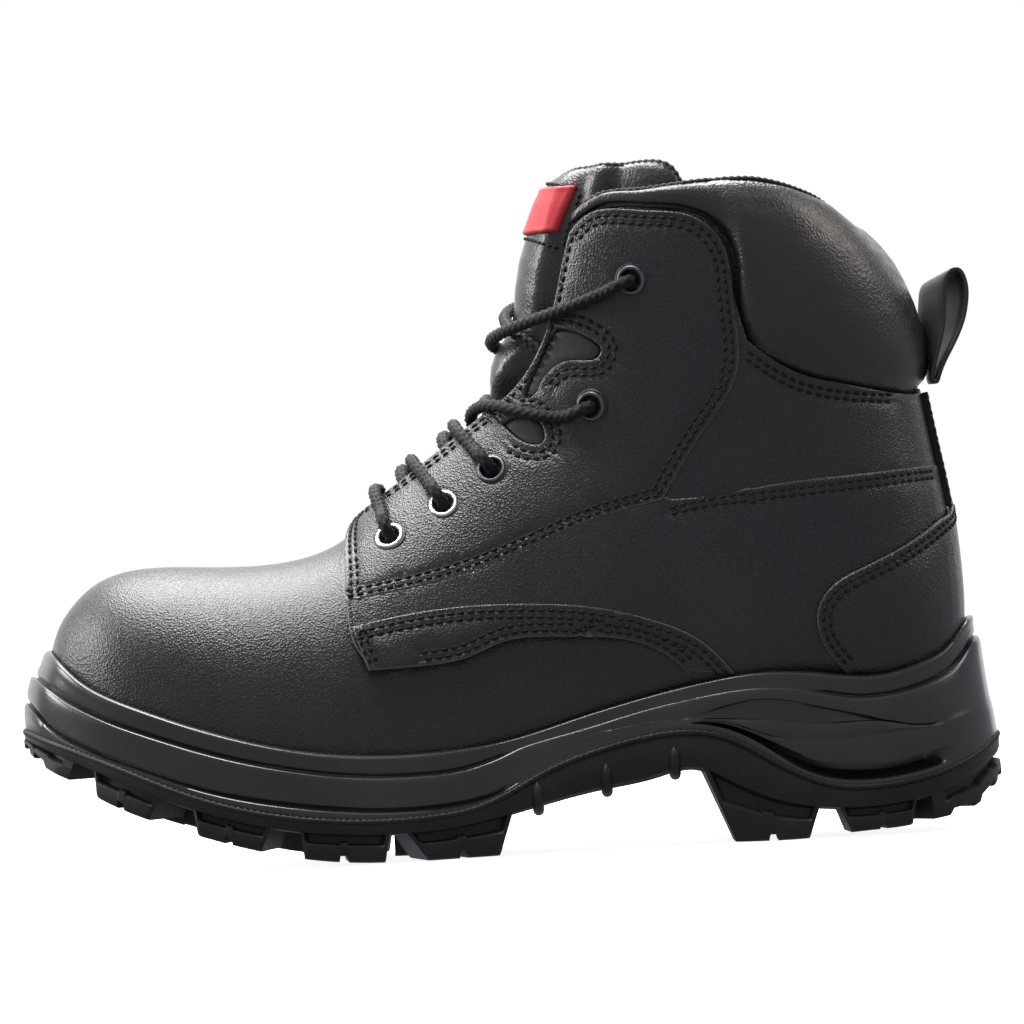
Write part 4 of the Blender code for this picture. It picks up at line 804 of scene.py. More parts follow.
class Shader:
    """A Principled material and short ways to add nodes to it."""

    def __init__(self, name, colour, roughness, metallic=0.0, **sockets):
        self.material = bpy.data.materials.new(name)
        self.material.use_nodes = True
        self.nodes, self.links = self.material.node_tree.nodes, self.material.node_tree.links
        self.shader = self.nodes["Principled BSDF"]
        self.set(self.shader, "Base Color", (*colour, 1.0))
        self.set(self.shader, "Roughness", roughness)
        self.set(self.shader, "Metallic", metallic)
        for socket, value in sockets.items():
            self.set(self.shader, socket.replace("_", " "), value)
        self.place = self.nodes.new("ShaderNodeTexCoord").outputs["Object"]

    def set(self, node, socket, value):
        node.inputs[socket].default_value = value

    def texture(self, kind, output, source=None, **sockets):
        """An output of a texture node whose lengths are in metres."""
        node = self.nodes.new(kind)
        self.links.new(source or self.place, node.inputs["Vector"])
        for socket, value in sockets.items():
            self.set(node, socket.replace("_", " "), value)
        return node.outputs[output]

    def noise(self, scale, detail=2.0, source=None):
        return self.texture("ShaderNodeTexNoise", "Fac", source, Scale=scale, Detail=detail, Roughness=0.5)

    def cells(self, scale, randomness=1.0):
        return self.texture("ShaderNodeTexVoronoi", "Distance", Scale=scale, Randomness=randomness)

    def stretched(self, x, y, z):
        """Coordinates scaled apart along the axes."""
        node = self.nodes.new("ShaderNodeMapping")
        self.links.new(self.place, node.inputs["Vector"])
        self.set(node, "Scale", (x, y, z))
        return node.outputs["Vector"]

    def math(self, kind, one, two):
        node = self.nodes.new("ShaderNodeMath")
        node.operation = kind
        for i, value in enumerate((one, two)):
            if isinstance(value, (int, float)):
                node.inputs[i].default_value = value
            else:
                self.links.new(value, node.inputs[i])
        return node.outputs[0]

    def fit(self, value, low, high, to_low, to_high):
        node = self.nodes.new("ShaderNodeMapRange")
        self.links.new(value, node.inputs["Value"])
        sockets = ("From Min", "From Max", "To Min", "To Max")
        for socket, number in zip(sockets, (low, high, to_low, to_high)):
            self.set(node, socket, number)
        return node.outputs["Result"]

    def blend(self, factor, one, two):
        """Colour that goes from one to two as the factor goes from 0 to 1."""
        node = self.nodes.new("ShaderNodeMix")
        node.data_type = "RGBA"
        self.links.new(factor, node.inputs["Factor"])
        for socket, value in ((node.inputs[6], one), (node.inputs[7], two)):
            if isinstance(value, tuple):
                socket.default_value = (*value, 1.0)
            else:
                self.links.new(value, socket)
        return node.outputs[2]

    def attribute(self, name):
        node = self.nodes.new("ShaderNodeAttribute")
        node.attribute_name = name
        return node.outputs["Fac"]

    def mottle(self, value, low, high, one, two):
        """A colour that goes from one to two as a value goes from low to high."""
        return self.blend(self.fit(value, low, high, 0.0, 1.0), one, two)

    def colour(self, value):
        self.links.new(value, self.shader.inputs["Base Color"])

    def roughness(self, *fitted):
        """Roughness from a value, its range and the roughness at both ends."""
        self.links.new(self.fit(*fitted), self.shader.inputs["Roughness"])

    def bump(self, *layers):
        """Bumps of (height, depth in metres, strength), one over the other. Gives the finished material."""
        before = None
        for height, depth, strength in layers:
            node = self.nodes.new("ShaderNodeBump")
            node.inputs["Distance"].default_value = depth
            node.inputs["Strength"].default_value = strength
            self.links.new(height, node.inputs["Height"])
            if before is not None:
                self.links.new(before, node.inputs["Normal"])
            before = node.outputs["Normal"]
        self.links.new(before, self.shader.inputs["Normal"])
        return self.material


def grain_leather():
    """Black corrected-grain leather: a fine pebble with small pores, and paler edges, partly raw edge colour
    and partly a painted highlight on the rounded edge.
    """
    made = Shader("black leather", (0.012, 0.012, 0.013), 0.42, Specular_IOR_Level=0.5)
    fine, speckle, broad = made.cells(1450.0), made.noise(2200.0, 3.0), made.noise(26.0, 3.0)
    base = made.mottle(broad, 0.35, 0.65, (0.006, 0.0058, 0.0075), (0.009, 0.0086, 0.0098))
    flecked = made.blend(made.fit(speckle, 0.5, 0.72, 0.0, 0.6), base, (0.042, 0.04, 0.044))
    # Panel edges are painted pale grey: partly the raw edge's own colour, partly a painted highlight where
    # the rounded edge catches the light.
    made.colour(made.blend(made.attribute("edge"), flecked, (0.10, 0.097, 0.095)))
    made.roughness(made.math("ADD", broad, made.math("MULTIPLY", speckle, 0.5)), 0.4, 1.1, 0.27, 0.41)
    return made.bump((fine, 0.0002, 0.7), (speckle, 0.00015, 0.6), (made.noise(420.0, 2.0), 0.0002, 0.08))


def nappa():
    """Soft padded leather with a tight pebble grain and fine creases across it."""
    made = Shader("soft black leather", (0.014, 0.013, 0.013), 0.34, Specular_IOR_Level=0.55)
    pebble, creases = made.cells(1050.0, 0.9), made.noise(130.0, 4.0, made.stretched(0.6, 1.0, 2.6))
    made.colour(made.mottle(made.noise(20.0, 2.0), 0.3, 0.7, (0.010, 0.0095, 0.0105), (0.015, 0.0135, 0.013)))
    made.roughness(creases, 0.35, 0.65, 0.3, 0.42)
    return made.bump((pebble, 0.0002, 0.6), (creases, 0.0006, 0.2), (made.noise(40.0, 2.0), 0.002, 0.08))


def inlay_leather():
    """Smooth leather for the flex areas and the pull loop."""
    made = Shader("smooth black leather", (0.009, 0.009, 0.01), 0.5)
    fine = made.noise(1900.0, 2.0)
    made.colour(made.mottle(made.noise(60.0), 0.3, 0.7, (0.008, 0.008, 0.009), (0.013, 0.013, 0.014)))
    made.roughness(fine, 0.3, 0.7, 0.44, 0.58)
    return made.bump((fine, 0.00008, 0.5))


def polyurethane():
    """Satin moulded polyurethane, slightly mottled."""
    made = Shader("black polyurethane", (0.011, 0.011, 0.012), 0.26, Specular_IOR_Level=0.65)
    fine, broad = made.noise(1400.0, 3.0), made.noise(35.0, 3.0)
    made.colour(made.mottle(broad, 0.35, 0.65, (0.010, 0.0098, 0.0105), (0.016, 0.0155, 0.016)))
    made.roughness(broad, 0.35, 0.65, 0.2, 0.3)
    return made.bump((fine, 0.00005, 0.4), (made.noise(160.0), 0.0002, 0.12))


def tread_rubber():
    """Harder rubber with a matt moulded skin, scuffed a little paler."""
    made = Shader("black rubber", (0.01, 0.01, 0.0105), 0.5, Specular_IOR_Level=0.3)
    fine = made.noise(1100.0, 4.0)
    made.colour(made.mottle(made.noise(60.0, 4.0), 0.4, 0.7, (0.008, 0.008, 0.009), (0.014, 0.014, 0.0145)))
    made.roughness(fine, 0.3, 0.7, 0.42, 0.6)
    return made.bump((fine, 0.00012, 0.45))


def braid_cloth(name, tone):
    """Polyester yarn: fine fibres along the surface and a little sheen."""
    made = Shader(name, tone, 0.75, Sheen_Weight=0.03, Sheen_Roughness=0.5, Specular_IOR_Level=0.3)
    fibres = made.noise(3200.0, 2.0)
    made.colour(made.mottle(fibres, 0.45, 0.7, tone, tuple(c * 2.6 for c in tone)))
    made.roughness(fibres, 0.3, 0.7, 0.62, 0.85)
    return made.bump((fibres, 0.00015, 0.6))


def lining_cloth():
    """Warp-knit mesh lining with rows of small holes."""
    made = Shader("black lining cloth", (0.03, 0.03, 0.031), 0.9, Sheen_Weight=0.3, Sheen_Roughness=0.4)
    holes, weave = made.cells(420.0, 0.15), made.noise(1500.0, 2.0)
    made.colour(made.mottle(holes, 0.1, 0.55, (0.008, 0.008, 0.008), (0.045, 0.045, 0.047)))
    made.roughness(weave, 0.3, 0.7, 0.8, 0.98)
    return made.bump((holes, 0.0005, 0.5), (weave, 0.0002, 0.4))


def metal(name, colour, roughness):
    """Pressed metal with fine rubbing marks."""
    made = Shader(name, colour, roughness, 1.0)
    marks = made.noise(900.0, 3.0, made.stretched(1.0, 1.0, 0.15))
    made.colour(made.mottle(marks, 0.3, 0.7, tuple(c * 0.7 for c in colour), colour))
    made.roughness(marks, 0.3, 0.7, roughness - 0.06, roughness + 0.1)
    return made.bump((marks, 0.00003, 0.4))


def red_rubber():
    """Soft red moulded label with a faint skin texture."""
    made = Shader("red label", (0.36, 0.02, 0.026), 0.5, Specular_IOR_Level=0.3)
    fine = made.noise(1300.0, 3.0)
    made.colour(made.mottle(made.noise(90.0), 0.3, 0.7, (0.33, 0.018, 0.024), (0.42, 0.028, 0.034)))
    made.roughness(fine, 0.3, 0.7, 0.45, 0.58)
    return made.bump((fine, 0.00008, 0.4))


def plain(name, tone, roughness, depth, scale):
    """A quiet hidden material: mottled colour and a small bump."""
    made = Shader(name, tone, roughness)
    grain = made.noise(scale, 4.0)
    made.colour(made.mottle(grain, 0.3, 0.7, tone, tuple(min(1.0, c * 1.5) for c in tone)))
    made.roughness(grain, 0.3, 0.7, roughness - 0.05, min(1.0, roughness + 0.08))
    return made.bump((grain, depth, 0.5))


FINISH = {
    "leather": grain_leather(),
    "nappa": nappa(),
    "inlay": inlay_leather(),
    "midsole": polyurethane(),
    "outsole": tread_rubber(),
    "thread": braid_cloth("black sewing thread", (0.0025, 0.0025, 0.003)),
    "lace": braid_cloth("black lace", (0.0045, 0.0045, 0.005)),
    "tape": braid_cloth("black tape", (0.01, 0.01, 0.0105)),
    "lining": lining_cloth(),
    # The two lowest eyelets use this pale metal as a painted reflection of the overhead light; on the boot
    # all eyelets are the same dark metal.
    "eyelet_painted_reflection": metal("eyelet metal lit as painted reflection", (0.86, 0.86, 0.88), 0.32),
    "dark": metal("dark eyelet metal", (0.12, 0.125, 0.135), 0.36),
    "washer": plain("black washer", (0.004, 0.004, 0.0045), 0.45, 0.00005, 1200.0),
    "steel": metal("steel", (0.55, 0.56, 0.58), 0.35),
    "edging": plain("edging rubber", (0.03, 0.03, 0.03), 0.7, 0.0001, 900.0),
    "board": plain("fibre board", (0.30, 0.24, 0.17), 0.85, 0.0002, 500.0),
    "footbed": plain("footbed cloth", (0.02, 0.02, 0.022), 0.9, 0.0003, 700.0),
    "plastic": plain("aglet plastic", (0.012, 0.012, 0.012), 0.3, 0.00004, 700.0),
    "label": red_rubber(),
}


# ---------------------------------------------------------------- sole unit

def sole_outline(count, inset=0.0):
    """Closed plan outline, lateral points from toe to heel, then medial ones back, moved in by an inset."""
    rows = np.array([(-SOLE_HALF_LENGTH, 0.0), *SOLE_WIDTH, (SOLE_HALF_LENGTH, 0.0)], float)
    half = Spline(np.arccos(np.clip(-rows[:, 0] / SOLE_HALF_LENGTH, -1, 1)), rows[:, 1])
    turn = np.linspace(0, math.pi, count)
    x = -SOLE_HALF_LENGTH * np.cos(turn)
    y = np.maximum(half(turn)[:, 0], 0.0)
    outline = np.concatenate([np.stack([x, -y], axis=1), np.stack([x[-2:0:-1], y[-2:0:-1]], axis=1)])
    outline = outline - outward(outline) * np.asarray(inset, float)[..., None]
    outline[:, 1] += midline(outline[:, 0])
    return outline


def ladder_caps(count, levels):
    """Cap faces of a block, below and above, that join lateral points to the medial ones at the same x."""
    size = 2 * (count - 1)
    faces = []
    for base, flip in ((0, False), ((levels - 1) * size, True)):
        for i in range(count - 1):
            j, k = (size - i) % size, size - i - 1
            quad = list(dict.fromkeys([i, i + 1, k, j]))
            faces.append(tuple(base + n for n in (reversed(quad) if flip else quad)))
    return faces


def ringed(rings, count):
    """Points and faces of a block from plan rings, lowest first."""
    points, faces = loft(rings, capped=False)
    return points, faces + ladder_caps(count, len(rings))


# How far the wall leans in at the toe and at the heel, for each height.
TOE_LEAN = ((52.0, 0.0), (58.0, 0.6), (64.0, 2.6), (70.0, 6.5))
HEEL_LEAN = ((24.0, 0.0), (35.0, 0.8), (42.0, 1.9), (48.0, 2.5), (60.0, 3.2), (66.0, 4.0))
# Rows of the midsole's wall: the line below, how far up to the next line, and the inset there at the front of
# the sole, at the waist, and in the leaf at the heel.
WALL_ROWS = (
    (0, 0.00, 1.4, 1.1, 1.1), (0, 0.10, 0.9, 0.7, 0.7), (0, 0.45, 0.75, 0.5, 0.35), (0, 0.76, 0.85, 0.5, 0.3),
    (0, 0.90, 1.4, 0.55, 0.5), (1, 0.00, 2.7, 0.6, 0.9), (1, 0.12, 2.7, 0.62, 5.0), (1, 0.60, 2.2, 0.66, 7.5),
    (1, 0.97, 1.9, 0.7, 7.0), (2, 0.00, 1.8, 0.7, 1.9), (2, 0.15, 1.7, 0.75, 1.3), (2, 0.85, 1.6, 0.85, 1.0),
    (3, 0.00, 1.6, 0.9, 1.35), (3, 0.10, 1.6, 0.9, 1.0), (3, 0.90, 1.6, 1.0, 1.3), (4, 0.00, 1.6, 1.0, 1.65),
    (4, 0.10, 1.6, 1.05, 1.3), (4, 0.90, 1.6, 1.15, 2.2), (5, 0.00, 1.6, 1.2, 1.7), (5, 0.06, 1.6, 1.2, 1.25),
    (5, 0.40, 1.6, 1.35, 1.35), (5, 0.70, 1.6, 1.6, 1.6), (5, 0.86, 1.75, 1.8, 1.8), (5, 0.93, 2.2, 2.0, 2.0),
    (5, 0.97, 3.0, 2.1, 2.1), (6, 0.00, 4.1, 2.3, 2.3), (6, 0.05, 4.1, 2.3, 2.3), (6, 0.12, 3.5, 2.35, 2.35),
    (6, 0.25, 3.3, 2.45, 2.45), (6, 0.45, 3.3, 2.6, 2.6), (6, 0.62, 3.1, 2.7, 2.7), (6, 0.75, 2.9, 2.8, 2.8),
    (6, 0.85, 3.1, 3.0, 3.0), (6, 0.93, 3.7, 3.5, 3.5), (6, 0.98, 4.6, 4.4, 4.4), (6, 1.00, 5.6, 5.4, 5.4),
)


def wall_lines(x):
    """Heights of the wall's lines at each x, each clear of the one below it."""
    lines = [parting(x) + 0.35]
    for rows in (LOW_LINE, RECESS_TOP, LOW_CREASE, HIGH_CREASE, LEAF_TOP, HIGH_LINE):
        lines.append(np.maximum(table(rows)(x), lines[-1] + 0.15))
    return lines + [np.maximum(rim_top(x), lines[-1] + 1.5)]


def wall_row(x, line, share, at_front, at_waist, at_leaf):
    """Height and inset of one row of the wall at each x."""
    lines = wall_lines(x)
    z = lines[line] + (lines[line + 1] - lines[line]) * share
    front = ease((3.0 - x) / 10)
    grooved = np.maximum(front, ease((x - 90) / 9)) if (line, share) > (5, 0.5) else front
    leaf = ease((x - 54) / 12) * ease((136 - x) / 9) * (1 - front)
    toe, heel = ease((-128 - x) / 20), ease((x - 118) / 28)
    inset = at_waist + grooved * (at_front - at_waist) + leaf * (at_leaf - at_waist)
    inset = inset + toe * np.interp(z, *np.transpose(TOE_LEAN))
    return z, inset + heel * np.interp(z, *np.transpose(HEEL_LEAN))


def wall_rings(count):
    """Rings of the midsole's wall. Their rows follow its grooves, beads and the leaf."""
    rings = []
    for row in WALL_ROWS:
        plan = sole_outline(count)
        for _ in range(4):
            z, inset = wall_row(plan[:, 0], *row)
            plan = (plan + sole_outline(count, inset)) / 2
        rings.append(np.column_stack([plan, z]))
    return rings


def build_midsole():
    """The midsole: its wall, less the space that the lasted upper fills."""
    wall = ringed(wall_rings(SOLE_COUNT), SOLE_COUNT)
    made = piece("midsole_wall", wall, "midsole", ["midsole"])
    u = np.concatenate([[0.003, 0.009, 0.02], np.linspace(0.035, last.knots[CUP_SECTION], 70)])
    a = np.linspace(0, 2, 120, endpoint=False)
    rings = last.off(u[:, None], a[None, :], np.full((len(u), len(a)), 0.25))
    cutter = piece("last_space", loft(rings), "midsole")
    cut = made.modifiers.new("cup", "BOOLEAN")
    cut.operation = "DIFFERENCE"
    cut.object = cutter
    applied = bpy.data.meshes.new_from_object(made.evaluated_get(bpy.context.evaluated_depsgraph_get()))
    made.modifiers.clear()
    made.data = applied
    made.data.set_sharp_from_angle(angle=math.radians(50))
    bpy.data.objects.remove(cutter)


def outline_at(turns, inset):
    """Plan points of the sole's outline at places along it, moved in by matching insets."""
    base = sole_outline(601)
    at = np.mod(turns, 2) / 2 * len(base)
    i = np.floor(at).astype(int) % len(base)
    j = (i + 1) % len(base)
    share = (at - np.floor(at))[..., None]
    place, away = (rows[i] * (1 - share) + rows[j] * share for rows in (base, outward(base)))
    return place - away * inset[..., None]


def turn_at(x, side=LATERAL):
    """Place along the outline, 0 at the toe and 1 at the heel, of a point at x on one side."""
    turn = math.acos(np.clip(-x / SOLE_HALF_LENGTH, -1, 1)) / math.pi
    return turn if side == LATERAL else -turn


# A notch in a cleat's running face: its edges' places along the cleat, and its depth.
NOTCH_STEPS = np.array([-0.062, -0.045, 0.045, 0.062])
NOTCH_DEPTH = 1.9


def lug(front_top, back_top, front_low, back_low, depth, notches=()):
    """One cleat of the tread along the outline, between places given at its top and at its running face."""
    share = np.linspace(0, 1, 25)
    for notch in notches:
        share = np.sort(np.concatenate([share, notch + NOTCH_STEPS]))
    low_turn = front_low + (back_low - front_low) * share
    top_turn = front_top + (back_top - front_top) * share
    low_x = outline_at(low_turn, np.zeros(len(share)))[:, 0]
    top_x = outline_at(top_turn, np.zeros(len(share)))[:, 0]
    bottom, top = running(low_x), tread_roof(top_x) + 1.2
    for notch in notches:
        bottom = np.where(np.abs(share - notch) < 0.05, bottom + NOTCH_DEPTH, bottom)
    ends = np.minimum(share, 1 - share)
    draft = 0.8 * (1 - ease(ends / 0.05))
    shelf = ease((ends - 0.03) / 0.05)
    profile = (
        (1.00, depth, 0), (1.00, 3.3, 1), (0.62, 3.1, 1), (0.56, 1.0, 1), (0.52, 0.35, 0), (0.12, 0.15, 0),
        (0.04, 0.45, 0), (0.00, 1.2, 0), (0.00, depth * 0.5, 0), (0.00, depth - 1.5, 0), (0.08, depth, 0),
    )
    rings = []
    for height, inset, recessed in profile:
        z = bottom + (top - bottom) * height
        turn = low_turn + (top_turn - low_turn) * height
        reach = 0.3 + (inset - 0.3) * shelf if recessed else inset
        rings.append(np.column_stack([outline_at(turn, reach + draft), z]))
    return loft(np.array(rings).transpose(1, 0, 2))


def centre_block(x_low, x_high, y, half):
    """A small cleat in the middle of the tread."""
    rings = []
    for k, x in enumerate(np.linspace(x_low, x_high, 7)):
        wide = half * (1 - 0.18 * abs(k - 3) / 3)
        low, top = float(running(x)) + 0.4, float(tread_roof(x)) + 0.6
        c = y + float(midline(x))
        rings.append([(x, c - wide - 0.8, top), (x, c - wide, low + 0.5), (x, c - wide + 0.6, low),
                      (x, c + wide - 0.6, low), (x, c + wide, low + 0.5), (x, c + wide + 0.8, top)])
    return loft(rings)


def waist_rib(x):
    """A round rib under the waist that turns up over both sides of the sole."""
    roof, middle = float(tread_roof(x)), float(midline(x))
    half = abs(outline_at(np.array([turn_at(x)]), np.array([0.6]))[0, 1] - middle)
    rise = ((half, roof + 8.0), (half + 0.1, roof + 4.0), (half - 0.4, roof + 1.2), (half - 2.4, roof + 0.1))
    lateral = [(x, middle - y, z) for y, z in rise]
    medial = [(x, middle + y, z) for y, z in reversed(rise)]
    points = lateral + [(x, middle + y, roof + 0.1) for y in (-20, 0, 20)] + medial
    radius = 1.75 * np.sqrt(np.clip(1 - (np.abs(np.linspace(-1, 1, 60)) ** 40), 0.02, 1))
    return tube(smooth(points, 60), radius, 12)


def tread_lugs():
    """The cleats along both sides, between the gaps, and the two that go round the toe and the heel."""
    parts = []
    for (_, top, _, foot), (top_end, _, foot_end, _) in zip(TREAD_GAPS, TREAD_GAPS[1:]):
        for side in (LATERAL, MEDIAL):
            turns = [turn_at(x, side) for x in (top, top_end, foot, foot_end)]
            middle = abs(outline_at(np.array([turns[0]]), np.zeros(1))[0, 1])
            parts.append(lug(*turns, min(middle - 7.0, 34.0), notches=(0.5,)))
    toe_top, toe_low = turn_at(TREAD_GAPS[0][0]), turn_at(TREAD_GAPS[0][2])
    parts.append(lug(-toe_top, toe_top, -toe_low, toe_low, 17.0, notches=(0.2, 0.35, 0.5, 0.65, 0.8)))
    heel_top, heel_low = turn_at(TREAD_GAPS[-1][1]), turn_at(TREAD_GAPS[-1][3])
    parts.append(lug(heel_top, 2 - heel_top, heel_low, 2 - heel_low, 24.0,
                     notches=(0.12, 0.27, 0.42, 0.58, 0.73, 0.88)))
    return parts


def build_outsole():
    """The outsole: a plate, cleats round it, small blocks in the middle, and ribs under the waist."""
    x = sole_outline(SOLE_COUNT)[:, 0]
    low, high = tread_roof(x), np.maximum(parting(x), tread_roof(x) + 2.0)
    rings = [np.column_stack([sole_outline(SOLE_COUNT, np.full(len(x), inset)), low + (high - low) * share])
             for inset, share in ((3.0, 0.0), (1.0, 0.1), (0.5, 0.3), (0.35, 0.85), (1.1, 1.0))]
    parts = [ringed(rings, SOLE_COUNT)] + tread_lugs()
    for x_at in np.arange(-112.0, -18.0, 19.0):
        for y, ahead in ((-4.95, -2), (4.95, 2)):
            parts.append(centre_block(x_at + ahead, x_at + 11 + ahead, y, 3.4))
    parts += [waist_rib(x_at) for x_at in WAIST_RIBS]
    piece("outsole_tread", joined(parts), "outsole", ["outsole"], sharp=32)


def build_sole_welt():
    """The ribbed line between midsole and outsole: a thin twisted bead all round."""
    outline = sole_outline(1201, np.full(2400, 0.75))
    closed = np.column_stack([outline, parting(outline[:, 0]) + 0.15])
    closed = np.concatenate([closed, closed[:1]])
    run = runs(closed)
    at = np.linspace(0, run[-1], 1400, endpoint=False)
    line = along_line(closed, run, at)
    ahead = round_closed(line)
    out = unit(np.cross(ahead, (0.0, 0.0, 1.0)))
    up = np.cross(out, ahead)
    turn = np.arange(8) * math.pi / 4
    size = 0.72 + 0.17 * np.sin(2 * math.pi * at[:, None] / 2.05 + 2 * turn[None, :])
    rings = (line[:, None] + out[:, None] * (np.cos(turn) * size)[..., None]
             + up[:, None] * (np.sin(turn) * size * 1.25)[..., None])
    piece("sole_welt", loft(rings, closed=True), "outsole", sharp=80)


# ---------------------------------------------------------------- inside the boot

def mirrored(points):
    """A lateral outline of u and a carried on along its mirror image, in reverse."""
    points = np.asarray(points, float)
    return np.concatenate([points, points[::-1] * [1, -1]])


def round_back(points):
    """As mirrored, but across the back seam, where a is 1."""
    points = np.asarray(points, float)
    back = points[::-1].copy()
    back[:, 1] = 2 - back[:, 1]
    return np.concatenate([points, back])


def build_linings():
    """The cloth linings of the vamp and of the shaft, which goes round the back."""
    foot = [(x, float(sole_bottom(x)) + 8.0) for x in np.linspace(-132.0, -49.0, 8)]
    panel("vamp_lining_cloth", mirrored(last.trace(foot)), LINING_OUTSIDE, LINING_CLOTH, "lining",
          ["vamp_lining"], step=6.0, rounding=0.4)
    foot = [(x, float(sole_bottom(x)) + 8.0) for x in (128, 112, 90, 70, 45, 20, -5, -30, -46)]
    front = [(-46.0, 84.0), (-16.0, 92.0), (4.0, 100.0), (34.0, 121.0), (55.0, 150.0), (60.0, 178.0)]
    high = [(68.0, 191.0), (75.6, 184.0), (78.4, 167.0), (80.4, 156.0), (92.6, 144.0), (108.0, 139.2)]
    seam = [[(last.back_u(z), 1.0)] for z in (54.0, 135.6)]
    outline = round_back(np.concatenate([seam[0], last.trace(foot + front + high), seam[1]]))[1:]
    panel("shaft_lining_cloth", outline, LINING_OUTSIDE, LINING_CLOTH, "lining", ["shaft_lining"],
          step=5.0, rounding=0.4)


# Insets and heights of the footbed's edge, from its underside round to its top.
FOOTBED_EDGE = ((1.2, 5.6), (0.5, 6.1), (0.3, 8.4), (0.9, 9.4), (2.4, 9.9), (6.0, 9.8), (12.0, 9.5))


def build_footbed():
    """The footbed: cloth-covered foam with a rounded edge and a dished heel, inside its CAD solid."""
    low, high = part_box("footbed")
    middle, reach = (low.x + high.x) / MM / 2, (high.x - low.x) / MM / 2
    plan = np.array([v.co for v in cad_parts["footbed"].data.vertices]) / MM
    count = 61
    turn = np.linspace(0, math.pi, count)
    x = middle - reach * np.cos(turn)
    halves = []
    for sign in (-1, 1):
        rim = plan[(plan[:, 1] - midline(plan[:, 0])) * sign >= -0.5]
        rim = rim[np.argsort(rim[:, 0])]
        rim_x, first = np.unique(np.round(rim[:, 0], 2), return_index=True)
        halves.append(np.interp(x, rim_x, np.abs(rim[:, 1] - midline(rim[:, 0]))[first]))
    half = np.minimum(*halves)
    half[0] = half[-1] = 0.0
    is_tip = (turn == 0) | (turn == math.pi)
    rings = []
    for inset, height in FOOTBED_EDGE:
        y = np.maximum(half - inset, 0.15) * np.where(is_tip, 0, 1)
        at = middle - (reach - inset) * np.cos(turn)
        z = sole_bottom(at) + height + 1.4 * ease((at - 40) / 60) * (height > 8)
        lateral, medial = (np.stack([at, midline(at) + side * y, z], axis=1) for side in (-1, 1))
        rings.append(np.concatenate([lateral, medial[-2:0:-1]]))
    piece("footbed_foam", ringed(rings, count), "footbed", ["footbed"], body="footbed")


def dress_hidden_nodes():
    """Better materials for the CAD nodes that stay inside the boot."""
    for finish, names in (("steel", ("puncture_plate", "shank", "toe_cap")),
                          ("board", ("insole_board", "heel_counter")), ("edging", ("toe_cap_edging",))):
        for name in names:
            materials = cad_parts[name].data.materials
            materials.clear()
            materials.append(FINISH[finish])


# ---------------------------------------------------------------- upper

def ring_on(place_uv, radius, count=20):
    """A circle on the last about a place, in u and a."""
    along, around = last.steps(*place_uv)
    base = np.stack([along, around], axis=1)
    one = unit(along)
    two = np.cross(last.normal(*place_uv), one)
    found = []
    for k in range(count):
        turn = 2 * math.pi * k / count
        offset = radius * (math.cos(turn) * one + math.sin(turn) * two)
        found.append(np.array(place_uv) + np.linalg.lstsq(base, offset, rcond=None)[0])
    return np.array(found)


def traced(points, count):
    """u and a of a smooth curve through side view points."""
    return last.trace(smooth(points, count))


def back_line(low, high, count, a=1.0):
    """Places up the back seam between two heights."""
    return [(last.back_u(z), a) for z in np.linspace(low, high, count)]


def eyestay_outline():
    """The lateral flap: up its front and the throat's edge, down its rear and back along its lower edge."""
    front = [smooth(((-48.2, 80.5), FLAP_FRONT[3]), 6)[:-1], smooth(THROAT_EDGE, 60)[:-1]]
    return last.trace(np.concatenate([*front, smooth(EYESTAY_REAR, 60), smooth(EYESTAY_LOWER, 30)[1:-1]]))


def quarter_outline():
    """The lateral quarter, which runs a little under the flap with the eyelets."""
    top = traced([(x - 0.7, z + 1.6) for x, z in EYESTAY_LOWER], 30)[::-1]
    seam = traced([(52.6, 106.4), *MID_SEAM[1:]], 20)
    foot = last.trace([(x, float(sole_bottom(x)) + rise) for x, rise in QUARTER_FOOT])
    lower = traced(FLAP_LOWER, 40)[::-1][1:]
    front = traced([(-44.0, 62.4), (-46.4, 66.4), (-48.0, 77.6)], 8)
    return np.concatenate([top, seam, back_line(QUARTER_BACK_Z, 62.0, 9), foot, lower, front])


def ankle_outline():
    """The lateral ankle panel, between the flap, the middle seam, the back and the collar."""
    front = traced(((74.4, 172.0), (72.6, 143.2), (62.6, 128.4), (52.6, 114.0), (50.2, 107.4)), 30)
    low = traced([(x, z - 1.8) for x, z in MID_SEAM[1:]], 16)
    top = traced([(108.2, 138.9), (92.9, 143.5), (79.0, 153.6)], 14)
    return np.concatenate([front, low, back_line(110.8, 136.6, 6), top])


def build_vamp():
    """The vamp with the toe. A soft fold crosses each side of it where the foot bends."""
    throat_edge = last.trace([(-46.0, 96.0), (-46.4, 92.0)])
    front = traced([(x + 1.6, z) for x, z in FLAP_FRONT], 12)[1:-1][::-1]
    lower = traced([(x + 0.4, z + 1.6) for x, z in FLAP_LOWER[:8]], 36)[1:]
    foot_x = (54, 44, 34, 22, 12, 0, -12, -24, -36, -48, -60, -72, -84, -96, -108, -118, -126, -132, -137)
    foot = last.trace([(x, float(sole_bottom(x)) + 3.0) for x in foot_x])
    toe_tip = [(0.002, 0.5)]

    def fold(surface):
        x, z = surface[:, 0], surface[:, 2]
        side = ease((z - 40) / 20) * ease((90 - z) / 20)
        return -0.35 * np.exp(-((x + 58 + 0.12 * (z - 60)) / 5.0) ** 2) * side

    outline = mirrored(np.concatenate([throat_edge, front, lower, foot, toe_tip]))
    panel("vamp_leather", outline, 0.0, LEATHER, "leather", ["vamp"], relief=fold, step=3.6)


def seam_rows(edge_points, side, insets=ROW_INSETS, count=60):
    """Stitched rows beside an edge given in side view, to its right going ahead."""
    line = traced(edge_points, count)
    return [shift(line, distance) * np.array([1, side]) for distance in insets]


def sewn_rows(rows, face):
    """Stitched rows sunk a little into a panel whose face follows the flap's rise."""
    return [sewn(row, over_last(face - STITCH_SINK)) for row in rows]


